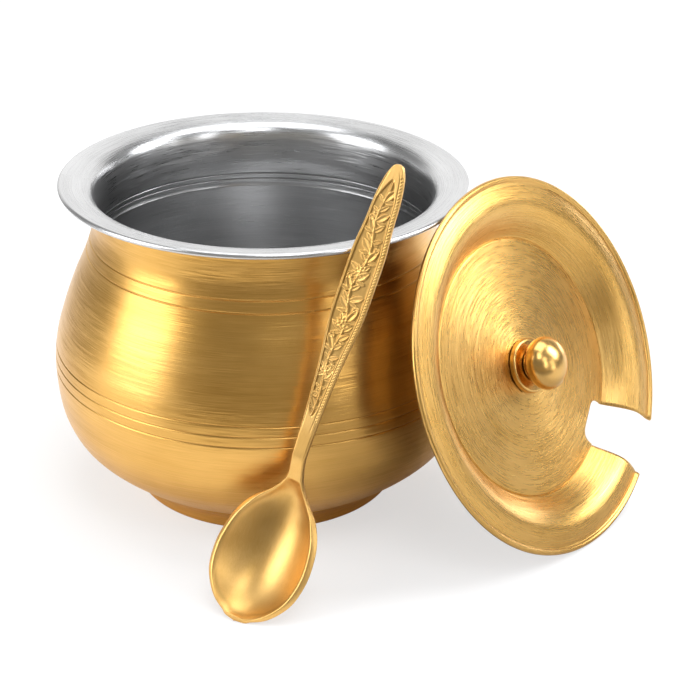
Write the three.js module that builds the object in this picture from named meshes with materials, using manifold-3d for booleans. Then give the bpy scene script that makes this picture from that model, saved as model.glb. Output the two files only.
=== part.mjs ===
// Ghee pot with its lid and spoon, all lengths in millimetres, +Z up.
// The pot stands on the table at the origin. Its lid stands on its edge and leans on the rim, and the
// spoon stands in front with its bowl on the table and its handle against the rim.

import * as THREE from 'three';
import { mergeVertices } from 'three/addons/utils/BufferGeometryUtils.js';
import Module from 'manifold-3d';

// Pot
const potHeight = 88;
const rimRadius = 55;
const neckRadius = 45;
const flangeRise = 9.5;
const throatSpread = 2;
const bellyRadius = 57.9;
const footRadius = 36.4;
const footHeight = 6;
const footTopRadius = 38.9;
const shellSheet = 0.8;
const linerSheet = 0.8;
const sheetGap = 0.3;
const shellEdgeInset = 0.3;
const bottomHeight = 2.2;
const bottomFlatRadius = 24;

// Lines cut into the outside of the pot
const bellyLineHeights = [36.4, 39.3, 42.1];
const bellyLineWidth = 0.7;
const bellyLineDepth = 0.25;
const shoulderLineHeights = [69.2, 72.3];
const shoulderLineWidth = 0.6;
const shoulderLineDepth = 0.22;

// A raised ring and two cut lines on the inside of the steel liner
const linerRidgeAt = 71.6;
const linerRidgeRise = 0.25;
const linerLineHeights = [74.6, 76.2];
const linerLineWidth = 0.7;
const linerLineDepth = 0.25;

// Foot pan
const footSheet = 1.2;
const footBaseGrooveInner = 27;
const footBaseGrooveOuter = 31;
const footBaseGrooveDepth = 0.5;
const footEdgeRound = 0.8;
const seatGap = 0.3;

// Lid
const lidRadius = 50.4;
const lidSheet = 0.9;
const hemBeadRadius = 0.8;
const hemGrooveInset = 1.75;
const hemGrooveHeight = 0.2;
const crestRadius = 44;
const crestHeight = 0.9;
const panelRadius = 34.3;
const panelSink = 5.3;
const panelRise = 0.9;
const panelStepWidth = 0.7;
const panelStepDrop = 0.35;
const lidBore = 1.9;

// Notch in the lid for the spoon's handle
const notchInnerRadius = 29.6;
const notchInnerHalfWidth = 5.7;
const notchOuterHalfWidth = 8.5;
const notchCornerRadius = 2.6;
const notchOverrun = 4;
const notchAngle = THREE.MathUtils.degToRad(-47.8);

// Knob and its fastening
const collarRadius = 7.4;
const collarHeight = 1.5;
const collarRound = 0.6;
const ballRadius = 7.1;
const ballHalfHeight = 4.6;
const neckGrooveRadius = 4.2;
const neckGrooveHeight = 0.7;
const knobHoleRadius = 1.9;
const knobHoleDepth = 5.5;
const washerRadius = 4.4;
const washerThickness = 0.8;
const screwRadius = 1.5;
const screwHeadRadius = 3;
const screwHeadHeight = 1.6;
const screwEndGap = 0.8;
const slotWidth = 0.8;
const slotDepth = 0.7;
const pieceGap = 0.3;

// Spoon
const spoonLength = 120.2;
const bowlLength = 37.25;
const bowlHalfWidth = 13.9;
const bowlDepth = 6.5;
const bowlSheet = 1.2;
const neckHalfWidth = 1.9;
const neckThickness = 2.3;
const neckStep = 4;
const neckStepBefore = 5;
const neckStepAfter = 8;
const handleHalfWidth = 4.63;
const handleThickness = 1.4;
const handleBow = 0.43;
const spoonTipHalfWidth = 0.9;
const bowlTipRise = 9.6;

// How the loose pieces stand
const lidTurn = THREE.MathUtils.degToRad(51.5);
const lidLean = THREE.MathUtils.degToRad(24.1);
const lidSideStep = 25;
const spoonHeading = THREE.MathUtils.degToRad(38.3);
const spoonLean = THREE.MathUtils.degToRad(66.6);
const spoonRoll = THREE.MathUtils.degToRad(-25);
const spoonHeelX = -3.86;
const restGap = 0.3;

// Fineness of the faceted shapes
const potSegments = 40;
const smallSegments = 24;
const cutOverrun = 1;

const wasm = await Module();
wasm.setup();

// Closed geometry from a manifold solid and back.
function toSolid(geometry) {
  const bare = geometry.clone();
  bare.deleteAttribute('normal');
  bare.deleteAttribute('uv');
  const merged = mergeVertices(bare);
  const mesh = new wasm.Mesh({
    numProp: 3,
    vertProperties: new Float32Array(merged.attributes.position.array),
    triVerts: new Uint32Array(merged.index.array),
  });
  return new wasm.Manifold(mesh);
}

function toGeometry(solid) {
  const mesh = solid.getMesh();
  const geometry = new THREE.BufferGeometry();
  geometry.setAttribute('position', new THREE.BufferAttribute(mesh.vertProperties, 3));
  geometry.setIndex(new THREE.BufferAttribute(mesh.triVerts, 1));
  return geometry;
}

// Turned shape about +Z from an outline of [radius, height] pairs.
function turned(outline, segments) {
  const points = outline.map(([radius, height]) => new THREE.Vector2(radius, height));
  return new THREE.LatheGeometry(points, segments).rotateX(Math.PI / 2);
}

function ringOutline(outline) {
  return [...outline, outline[0]];
}

// Moves each point of an outline sideways, to the left of its direction of travel.
function offsetOutline(outline, distance) {
  return outline.map(([radius, height], index) => {
    const before = outline[Math.max(index - 1, 0)];
    const after = outline[Math.min(index + 1, outline.length - 1)];
    const alongRadius = after[0] - before[0];
    const alongHeight = after[1] - before[1];
    const length = Math.hypot(alongRadius, alongHeight);
    const movedRadius = radius - (alongHeight / length) * distance;
    const movedHeight = height + (alongRadius / length) * distance;
    return [Math.max(movedRadius, 0), movedHeight];
  });
}

// Height of an outline where it first passes a radius.
function heightAtRadius(outline, radius) {
  for (let index = 1; index < outline.length; index += 1) {
    const [r0, z0] = outline[index - 1];
    const [r1, z1] = outline[index];
    if (r0 <= radius && radius <= r1) return z0 + ((z1 - z0) * (radius - r0)) / (r1 - r0);
  }
  return outline[outline.length - 1][1];
}

// Distance from a point to the outline of a turned body, below zero on the body's side.
function distanceToOutline(outline, radius, height) {
  let nearest = Infinity;
  let inside = false;
  for (let index = 1; index < outline.length; index += 1) {
    const [r0, z0] = outline[index - 1];
    const [r1, z1] = outline[index];
    const dr = r1 - r0;
    const dz = z1 - z0;
    const share = ((radius - r0) * dr + (height - z0) * dz) / (dr * dr + dz * dz);
    const clamped = Math.min(Math.max(share, 0), 1);
    nearest = Math.min(nearest, Math.hypot(radius - r0 - clamped * dr, height - z0 - clamped * dz));
    const crosses = z0 > height !== z1 > height;
    if (crosses && radius < r0 + (dr * (height - z0)) / dz) inside = !inside;
  }
  return inside ? -nearest : nearest;
}

// The outside of the pot's brass wall, from the middle of its bottom to the edge of its flange.
// The belly's points are [share of the belly's radius, share of the way up to the neck].
const neckHeight = potHeight - flangeRise;
const flangeUnderside = potHeight - linerSheet - sheetGap - shellSheet;
const bodyShares = [
  [0.735, 0.102],
  [0.831, 0.153],
  [0.904, 0.204],
  [0.948, 0.255],
  [0.983, 0.331],
  [1, 0.459],
  [0.987, 0.561],
  [0.949, 0.662],
  [0.899, 0.764],
  [0.839, 0.866],
  [0.789, 0.955],
];

function bodyOutline() {
  const guide = [[footTopRadius, footHeight]];
  bodyShares.forEach(([radiusShare, heightShare]) => {
    guide.push([bellyRadius * radiusShare, neckHeight * heightShare]);
  });
  guide.push([neckRadius, neckHeight]);
  const curve = new THREE.SplineCurve(guide.map(([r, z]) => new THREE.Vector2(r, z)));
  return curve.getPoints(guide.length + 5).map((point) => [point.x, point.y]);
}

// Above the neck the wall widens like a funnel, then bends sharply into the flat flange.
function flareOutline(steps) {
  const points = [];
  const bendRun = rimRadius - shellEdgeInset - neckRadius - throatSpread;
  for (let step = 1; step <= steps; step += 1) {
    const angle = (step / steps) * (Math.PI / 2);
    const rise = Math.sin(angle) ** 0.4;
    const bend = step === steps ? 1 : 1 - Math.cos(angle) ** 0.4;
    const radius = neckRadius + throatSpread * rise + bendRun * bend;
    points.push([radius, neckHeight + (flangeUnderside - neckHeight) * rise]);
  }
  return points;
}

// Adds a shallow V to an outline at a height, square to the wall.
function cutLine(outline, height, width, depth) {
  const cut = [];
  let done = false;
  outline.forEach((point, index) => {
    const next = outline[index + 1];
    if (Math.abs(point[1] - height) > width) cut.push(point);
    if (done || !next || !(point[1] < height && next[1] >= height)) return;
    const share = (height - point[1]) / (next[1] - point[1]);
    const radius = point[0] + share * (next[0] - point[0]);
    const slope = (next[0] - point[0]) / (next[1] - point[1]);
    cut.push([radius - (slope * width) / 2, height - width / 2]);
    cut.push([radius - depth, height]);
    cut.push([radius + (slope * width) / 2, height + width / 2]);
    done = true;
  });
  return cut;
}

const bottomOutline = [[0, bottomHeight], [bottomFlatRadius, bottomHeight]];
const plainOutline = [...bottomOutline, ...bodyOutline(), ...flareOutline(8)];

function shellOutline() {
  let outline = plainOutline;
  bellyLineHeights.forEach((height) => {
    outline = cutLine(outline, height, bellyLineWidth, bellyLineDepth);
  });
  shoulderLineHeights.forEach((height) => {
    outline = cutLine(outline, height, shoulderLineWidth, shoulderLineDepth);
  });
  return outline;
}

const outerShellGeometry = () => {
  const outside = shellOutline();
  const inside = offsetOutline(plainOutline, shellSheet).reverse();
  return turned([...outside, ...inside], potSegments);
};

// The steel liner lies inside the brass wall and its flange lies on the brass flange.
const linerOutside = offsetOutline(plainOutline, shellSheet + sheetGap);
const linerInside = offsetOutline(plainOutline, shellSheet + sheetGap + linerSheet);

const innerLinerGeometry = () => {
  const outside = linerOutside.slice(0, -1);
  let lined = linerInside.slice(0, -1);
  lined = cutLine(lined, linerRidgeAt, linerLineWidth, linerRidgeRise);
  linerLineHeights.forEach((height) => {
    lined = cutLine(lined, height, linerLineWidth, -linerLineDepth);
  });
  const inside = lined.reverse();
  const edgeRound = linerSheet / 2;
  const edgeMiddle = potHeight - edgeRound;
  const edge = [
    [rimRadius - edgeRound, potHeight - linerSheet],
    [rimRadius, edgeMiddle],
    [rimRadius - edgeRound, potHeight],
  ];
  return turned([...outside, ...edge, ...inside], potSegments);
};

// The foot is a shallow pan whose upper edge carries the bowl of the pot.
const footPanGeometry = () => {
  const innerTopRadius = footTopRadius - footSheet;
  const outerTop = heightAtRadius(plainOutline, footTopRadius) - seatGap;
  const innerTop = heightAtRadius(plainOutline, innerTopRadius) - seatGap;
  const outline = [
    [0, 0],
    [footBaseGrooveInner, 0],
    [footBaseGrooveInner + footBaseGrooveDepth, footBaseGrooveDepth],
    [footBaseGrooveOuter - footBaseGrooveDepth, footBaseGrooveDepth],
    [footBaseGrooveOuter, 0],
    [footRadius - footEdgeRound, 0],
    [footRadius, footEdgeRound],
    [footTopRadius, outerTop],
    [innerTopRadius, innerTop],
    [footRadius - footSheet, footSheet + footEdgeRound],
    [footRadius - footSheet - footEdgeRound, footSheet],
    [0, footSheet],
  ];
  return turned(outline, potSegments);
};

// Lid, in its own frame: +Z is its upper side, and the middle of its rolled hem is at height zero.
const panelEdgeHeight = -panelSink;
const panelMiddleHeight = -panelSink + panelRise;

function lidTopOutline() {
  const slopeFoot = panelRadius + panelStepWidth;
  const outline = [
    [lidBore, panelMiddleHeight],
    [panelRadius, panelEdgeHeight],
    [panelRadius + panelStepWidth / 2, panelEdgeHeight - panelStepDrop],
    [slopeFoot, panelEdgeHeight],
  ];
  const slopeSteps = 5;
  for (let step = 1; step <= slopeSteps; step += 1) {
    const share = step / slopeSteps;
    const rise = Math.sin((share * Math.PI) / 2) ** 1.1;
    outline.push([
      slopeFoot + (crestRadius - slopeFoot) * share,
      panelEdgeHeight + (crestHeight - panelEdgeHeight) * rise,
    ]);
  }
  const grooveRadius = lidRadius - hemGrooveInset;
  const archSteps = 3;
  for (let step = 1; step <= archSteps; step += 1) {
    const share = step / archSteps;
    outline.push([
      crestRadius + (grooveRadius - crestRadius) * share,
      crestHeight + (hemGrooveHeight - crestHeight) * share ** 1.8,
    ]);
  }
  return outline;
}

const lidTop = lidTopOutline();
const hemCentreRadius = lidRadius - hemBeadRadius;

function lidBlank() {
  const hem = [];
  for (let step = 1; step <= 7; step += 1) {
    const angle = Math.PI * (step / 4 - 1);
    hem.push([
      hemCentreRadius + hemBeadRadius * Math.cos(angle),
      hemBeadRadius * Math.sin(angle),
    ]);
  }
  const under = offsetOutline(lidTop, -lidSheet);
  under[0][0] = lidBore;
  return turned(ringOutline([...under, ...hem, ...[...lidTop].reverse()]), potSegments);
}

// A tapered slot that is open at the lid's edge and has two round corners at its inner end.
function notchCutter() {
  const outerEnd = lidRadius + notchOverrun;
  const run = lidRadius - notchInnerRadius;
  const flare = (notchOuterHalfWidth - notchInnerHalfWidth) / run;
  const outerHalf = notchOuterHalfWidth + flare * notchOverrun;
  const innerHalf = notchInnerHalfWidth;
  const cornerEnd = notchInnerRadius + notchCornerRadius;
  const cornerHalf = innerHalf + flare * notchCornerRadius;
  const shape = new THREE.Shape();
  shape.moveTo(outerEnd, -outerHalf);
  shape.lineTo(outerEnd, outerHalf);
  shape.lineTo(cornerEnd, cornerHalf);
  shape.quadraticCurveTo(notchInnerRadius, innerHalf, notchInnerRadius, innerHalf - notchCornerRadius);
  shape.lineTo(notchInnerRadius, notchCornerRadius - innerHalf);
  shape.quadraticCurveTo(notchInnerRadius, -innerHalf, cornerEnd, -cornerHalf);
  shape.closePath();
  const below = panelSink + panelStepDrop + lidSheet + cutOverrun;
  const above = crestHeight + cutOverrun;
  const settings = { depth: below + above, bevelEnabled: false, curveSegments: 4 };
  const cutter = new THREE.ExtrudeGeometry(shape, settings);
  return cutter.translate(0, 0, -below).rotateZ(notchAngle);
}

const lidPlateGeometry = () => toGeometry(toSolid(lidBlank()).subtract(toSolid(notchCutter())));

// Knob: a collar on the lid, and a flattened ball on a short neck, held by a screw from below.
const collarBase = panelMiddleHeight + pieceGap;
const collarTop = collarBase + collarHeight;
const knobBase = collarTop + pieceGap;
const ballCentre = knobBase + neckGrooveHeight
  + ballHalfHeight * Math.sqrt(1 - (neckGrooveRadius / ballRadius) ** 2);
const washerTop = panelMiddleHeight - lidSheet - pieceGap;
const screwHeadTop = washerTop - washerThickness - pieceGap;

const knobCollarGeometry = () => {
  const slope = panelRise / (panelRadius - lidBore);
  const outline = [
    [knobHoleRadius, collarBase],
    [collarRadius, collarBase - slope * (collarRadius - knobHoleRadius)],
    [collarRadius, collarTop - collarRound],
    [collarRadius - collarRound, collarTop],
    [knobHoleRadius, collarTop],
  ];
  return turned(ringOutline(outline), smallSegments);
};

const knobGeometry = () => {
  const outline = [
    [0, knobBase + knobHoleDepth],
    [knobHoleRadius, knobBase + knobHoleDepth],
    [knobHoleRadius, knobBase],
    [neckGrooveRadius, knobBase],
  ];
  const start = Math.asin(neckGrooveRadius / ballRadius);
  const steps = 9;
  for (let step = 0; step <= steps; step += 1) {
    const angle = start + ((Math.PI - start) * step) / steps;
    const radius = step === steps ? 0 : ballRadius * Math.sin(angle);
    outline.push([radius, ballCentre - ballHalfHeight * Math.cos(angle)]);
  }
  return turned(outline, smallSegments);
};

const knobWasherGeometry = () => {
  const outline = [
    [lidBore, washerTop - washerThickness],
    [washerRadius, washerTop - washerThickness],
    [washerRadius, washerTop],
    [lidBore, washerTop],
  ];
  return turned(ringOutline(outline), smallSegments);
};

const knobScrewGeometry = () => {
  const headBottom = screwHeadTop - screwHeadHeight;
  const outline = [
    [0, headBottom],
    [screwHeadRadius - slotDepth, headBottom],
    [screwHeadRadius, headBottom + slotDepth],
    [screwHeadRadius, screwHeadTop],
    [screwRadius, screwHeadTop],
    [screwRadius, knobBase + knobHoleDepth - screwEndGap],
    [0, knobBase + knobHoleDepth - screwEndGap],
  ];
  const slotLength = 2 * (screwHeadRadius + cutOverrun);
  const slotHeight = slotDepth + cutOverrun;
  const slot = new THREE.BoxGeometry(slotLength, slotWidth, slotHeight);
  slot.translate(0, 0, headBottom + slotDepth - slotHeight / 2);
  return toGeometry(toSolid(turned(outline, smallSegments)).subtract(toSolid(slot)));
};

// Spoon, in its own frame: +Y runs from the tip of the bowl to the end of the handle, +Z is its face.
// Half widths are shares of the bowl's along the bowl, and of the handle's along the handle.
const bowlWidthShares = [
  [0, 0], [0.03, 0.293], [0.08, 0.536], [0.16, 0.744], [0.26, 0.894], [0.4, 0.962],
  [0.53, 0.94], [0.66, 0.853], [0.78, 0.67], [0.88, 0.385], [0.95, 0.228],
];
const handleWidthShares = [
  [0.12, 0.41], [0.25, 0.52], [0.38, 0.69], [0.52, 0.968], [0.63, 1], [0.73, 0.978],
  [0.82, 0.834], [0.89, 0.762], [0.95, 0.583], [0.985, 0.25],
];

function widthCurve() {
  const handleLength = spoonLength - bowlLength;
  const knots = [[0, spoonTipHalfWidth]];
  bowlWidthShares.slice(1).forEach(([at, share]) => {
    knots.push([bowlLength * at, bowlHalfWidth * share]);
  });
  knots.push([bowlLength + neckHalfWidth, neckHalfWidth]);
  handleWidthShares.forEach(([at, share]) => {
    knots.push([bowlLength + handleLength * at, handleHalfWidth * share]);
  });
  knots.push([spoonLength, spoonTipHalfWidth]);
  return knots;
}

const spoonKnots = widthCurve();

// Smooth step from 0 to 1 between two places.
function ease(from, to, value) {
  return THREE.MathUtils.smoothstep(value, from, to);
}

function halfWidthAt(y) {
  const last = spoonKnots.length - 2;
  let index = 0;
  while (index < last && y > spoonKnots[index + 1][0]) index += 1;
  const [y0, w0] = spoonKnots[index];
  const [y1, w1] = spoonKnots[index + 1];
  return w0 + ((w1 - w0) * (y - y0)) / (y1 - y0);
}

// Height of the middle of the face: the bowl is tipped up against the handle, and the handle starts
// a step above the bowl and is bowed a little.
function spineAt(y) {
  const share = Math.max(1 - y / (bowlLength + neckHalfWidth), 0);
  const along = Math.max((y - bowlLength) / (spoonLength - bowlLength), 0);
  const step = ease(bowlLength - neckStepBefore, bowlLength + neckStepAfter, y);
  return bowlTipRise * share ** 1.15 + neckStep * step + handleBow * 4 * along * (1 - along);
}

function hollowAt(y) {
  const share = Math.min(y / bowlLength, 1);
  return bowlDepth * Math.sin(Math.PI * share ** 0.8) ** 0.75;
}

function thicknessAt(y) {
  const toNeck = ease(bowlLength * 0.7, bowlLength, y);
  const toHandle = ease(bowlLength, bowlLength * 1.6, y);
  const atNeck = bowlSheet + (neckThickness - bowlSheet) * toNeck;
  return atNeck + (handleThickness - neckThickness) * toHandle;
}

// One point of the spoon's skin: across runs from -1 to 1, and side is 1 on the face and 0 below.
function spoonPoint(y, across, side) {
  const dish = hollowAt(y) * (1 - across * across);
  const bottom = side === 1 ? 0 : thicknessAt(y);
  return new THREE.Vector3(across * halfWidthAt(y), y, spineAt(y) - dish - bottom);
}

const neckRows = [0.5, 1].map((share) => bowlLength + neckStepAfter * share);
const spoonRows = [...spoonKnots.map(([y]) => y), ...neckRows].sort((a, b) => a - b);
const spoonAcross = [-1, -0.8, -0.5, -0.17, 0.17, 0.5, 0.8, 1];

const spoonGeometry = () => {
  const loop = [];
  spoonAcross.forEach((across) => loop.push([across, 1]));
  [...spoonAcross].reverse().forEach((across) => loop.push([across, 0]));
  const vertices = [];
  spoonRows.forEach((y) => {
    loop.forEach(([across, side]) => vertices.push(...spoonPoint(y, across, side).toArray()));
  });
  const count = loop.length;
  const faces = [];
  for (let row = 0; row < spoonRows.length - 1; row += 1) {
    for (let at = 0; at < count; at += 1) {
      const a = row * count + at;
      const b = row * count + ((at + 1) % count);
      faces.push(a, b, b + count, a, b + count, a + count);
    }
  }
  const columns = spoonAcross.length;
  [0, spoonRows.length - 1].forEach((row, end) => {
    for (let at = 0; at < columns - 1; at += 1) {
      const a = row * count + at;
      const b = a + 1;
      const c = row * count + (count - 2 - at);
      const d = row * count + (count - 1 - at);
      if (end === 0) faces.push(a, c, b, a, d, c);
      else faces.push(a, b, c, a, c, d);
    }
  });
  const geometry = new THREE.BufferGeometry();
  geometry.setAttribute('position', new THREE.Float32BufferAttribute(vertices, 3));
  geometry.setIndex(faces);
  return geometry;
};

// The pot's whole outline, which the loose pieces lean on.
const potOutline = [
  [0, 0],
  [footRadius, 0],
  [footTopRadius, footHeight],
  ...plainOutline.slice(bottomOutline.length + 1),
  [rimRadius, flangeUnderside],
  [rimRadius, potHeight],
  [0, potHeight],
];

// Slides a set of points level towards the pot until the nearest one is a gap away from it.
function slideUntilNear(points, direction, gap) {
  const reach = 2 * (rimRadius + spoonLength);
  let clear = 0;
  const nearest = (shift) => Math.min(...points.map((point) => distanceToOutline(
    potOutline,
    Math.hypot(point.x + direction.x * shift, point.y + direction.y * shift),
    point.z,
  )));
  while (nearest(clear) > gap && clear < reach) clear += restGap;
  let touching = clear;
  clear -= restGap;
  for (let step = 0; step < 20; step += 1) {
    const middle = (clear + touching) / 2;
    if (nearest(middle) > gap) clear = middle;
    else touching = middle;
  }
  return clear;
}

// Lid stance: it stands on the lowest point of its hem, a step to the side of the line of its lean.
function lidStance() {
  const facing = new THREE.Vector3(Math.sin(lidTurn), -Math.cos(lidTurn), 0);
  const sideways = new THREE.Vector3(Math.cos(lidTurn), Math.sin(lidTurn), 0);
  const rotation = new THREE.Euler(Math.PI / 2 - lidLean, 0, lidTurn, 'ZYX');
  const start = new THREE.Vector3();
  start.addScaledVector(facing, bellyRadius + lidRadius);
  start.addScaledVector(sideways, lidSideStep);
  start.z = hemCentreRadius * Math.cos(lidLean) + hemBeadRadius;
  const back = [];
  const backOutline = offsetOutline(lidTop, -lidSheet);
  const rings = [...backOutline.slice(2), [hemCentreRadius, -hemBeadRadius], [lidRadius, 0]];
  rings.forEach(([radius, height]) => {
    for (let step = 0; step < 180; step += 1) {
      const angle = (step / 180) * 2 * Math.PI;
      const point = new THREE.Vector3(radius * Math.cos(angle), radius * Math.sin(angle), height);
      back.push(point.applyEuler(rotation).add(start));
    }
  });
  const shift = slideUntilNear(back, facing.clone().negate(), restGap);
  start.addScaledVector(facing, -shift);
  return { position: start, rotation };
}

// Spoon stance: the bowl's underside is on the table, and the handle's back edge is near the rim.
function spoonStance() {
  const level = new THREE.Vector3(Math.cos(spoonHeading), Math.sin(spoonHeading), 0);
  const up = new THREE.Vector3(0, 0, 1);
  const along = level.clone().multiplyScalar(Math.cos(spoonLean));
  along.addScaledVector(up, Math.sin(spoonLean));
  const plainSide = new THREE.Vector3().crossVectors(along, up).normalize();
  const side = plainSide.clone().applyAxisAngle(along, -spoonRoll);
  const face = new THREE.Vector3().crossVectors(side, along);
  const basis = new THREE.Matrix4().makeBasis(side, along, face);
  const rotation = new THREE.Quaternion().setFromRotationMatrix(basis);
  const skin = [];
  const fineRows = 240;
  for (let row = 0; row <= fineRows; row += 1) {
    spoonAcross.forEach((across) => {
      skin.push(spoonPoint((spoonLength * row) / fineRows, across, 0).applyQuaternion(rotation));
    });
  }
  let lowest = skin[0];
  skin.forEach((point) => {
    if (point.z < lowest.z) lowest = point;
  });
  const ahead = bellyRadius + spoonLength;
  const start = new THREE.Vector3(spoonHeelX - lowest.x, -ahead - lowest.y, -lowest.z);
  skin.forEach((point) => point.add(start));
  const shift = slideUntilNear(skin, new THREE.Vector3(0, 1, 0), restGap);
  start.y += shift;
  return { position: start, rotation };
}

const brass = { color: 0xc8923c, roughness: 0.32, metalness: 1 };
const polishedBrass = { color: 0xd09a42, roughness: 0.2, metalness: 1 };
const steel = { color: 0xa9abad, roughness: 0.3, metalness: 1 };

function piece(name, geometry, look) {
  const mesh = new THREE.Mesh(geometry, new THREE.MeshStandardMaterial(look));
  mesh.name = name;
  return mesh;
}

const potGroup = new THREE.Group();
potGroup.add(piece('outer_shell', outerShellGeometry(), brass));
potGroup.add(piece('inner_liner', innerLinerGeometry(), steel));
potGroup.add(piece('foot_pan', footPanGeometry(), brass));

const lidGroup = new THREE.Group();
lidGroup.add(piece('lid_plate', lidPlateGeometry(), brass));
lidGroup.add(piece('knob_collar', knobCollarGeometry(), polishedBrass));
lidGroup.add(piece('knob', knobGeometry(), polishedBrass));
lidGroup.add(piece('knob_washer', knobWasherGeometry(), polishedBrass));
lidGroup.add(piece('knob_screw', knobScrewGeometry(), steel));
const lidPlace = lidStance();
lidGroup.position.copy(lidPlace.position);
lidGroup.rotation.copy(lidPlace.rotation);

const spoonGroup = new THREE.Group();
spoonGroup.add(piece('spoon', spoonGeometry(), brass));
const spoonPlace = spoonStance();
spoonGroup.position.copy(spoonPlace.position);
spoonGroup.quaternion.copy(spoonPlace.rotation);

const gheePot = new THREE.Group();
gheePot.add(potGroup, lidGroup, spoonGroup);

export default gheePot;
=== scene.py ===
"""Looks of the ghee pot, its lid and its spoon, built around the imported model.

Sizes are in millimetres and turn into metres where a mesh is made.
"""

import logging
import math
from collections.abc import Callable, Sequence
from dataclasses import dataclass
from enum import Enum

import bmesh
import bpy
import numpy as np
from mathutils import Matrix, Vector


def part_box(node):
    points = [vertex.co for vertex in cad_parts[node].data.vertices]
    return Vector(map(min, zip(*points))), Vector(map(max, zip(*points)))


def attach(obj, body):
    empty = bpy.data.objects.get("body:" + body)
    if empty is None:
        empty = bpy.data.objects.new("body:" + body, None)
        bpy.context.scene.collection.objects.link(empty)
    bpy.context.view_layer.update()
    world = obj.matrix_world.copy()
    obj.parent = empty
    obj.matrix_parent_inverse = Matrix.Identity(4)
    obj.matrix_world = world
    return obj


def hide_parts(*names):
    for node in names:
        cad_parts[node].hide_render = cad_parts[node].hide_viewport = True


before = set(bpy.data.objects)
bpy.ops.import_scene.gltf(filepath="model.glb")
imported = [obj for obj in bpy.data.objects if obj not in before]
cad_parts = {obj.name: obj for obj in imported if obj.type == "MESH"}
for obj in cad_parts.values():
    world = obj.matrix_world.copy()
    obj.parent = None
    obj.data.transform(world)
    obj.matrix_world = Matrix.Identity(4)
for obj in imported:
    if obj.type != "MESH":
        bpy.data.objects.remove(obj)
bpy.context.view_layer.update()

LOG = logging.getLogger("ghee_pot")
MM = 0.001
FULL_TURN = 2 * math.pi
MERGE_DISTANCE = 2e-6
AXIS_CLEARANCE = 1e-5
# Name of the value that each point carries for painted shade, which darkens a piece's colour and raises its
# roughness.
PAINTED_SHADE = "painted_shade"
UP = np.array([0.0, 0.0, 1.0])

Triple = tuple[float, float, float]
Pair = tuple[float, float]
Room = Callable[[np.ndarray], np.ndarray]


# Shader tools


class Wire:
    """A number in a node tree that can stand in Python sums."""

    def __init__(self, bench: "Bench", socket: bpy.types.NodeSocket) -> None:
        """Keeps the bench that adds nodes and the socket that holds the number."""
        self.bench = bench
        self.socket = socket

    def __add__(self, other: "Wire | float") -> "Wire":
        """Sum."""
        return self.bench.maths("ADD", self, other)

    def __radd__(self, other: float) -> "Wire":
        """Sum with a plain number first."""
        return self.bench.maths("ADD", other, self)

    def __sub__(self, other: "Wire | float") -> "Wire":
        """Difference."""
        return self.bench.maths("SUBTRACT", self, other)

    def __rsub__(self, other: float) -> "Wire":
        """Difference with a plain number first."""
        return self.bench.maths("SUBTRACT", other, self)

    def __mul__(self, other: "Wire | float") -> "Wire":
        """Product."""
        return self.bench.maths("MULTIPLY", self, other)

    def __rmul__(self, other: float) -> "Wire":
        """Product with a plain number first."""
        return self.bench.maths("MULTIPLY", other, self)

    def __truediv__(self, other: "Wire | float") -> "Wire":
        """Quotient."""
        return self.bench.maths("DIVIDE", self, other)


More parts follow.
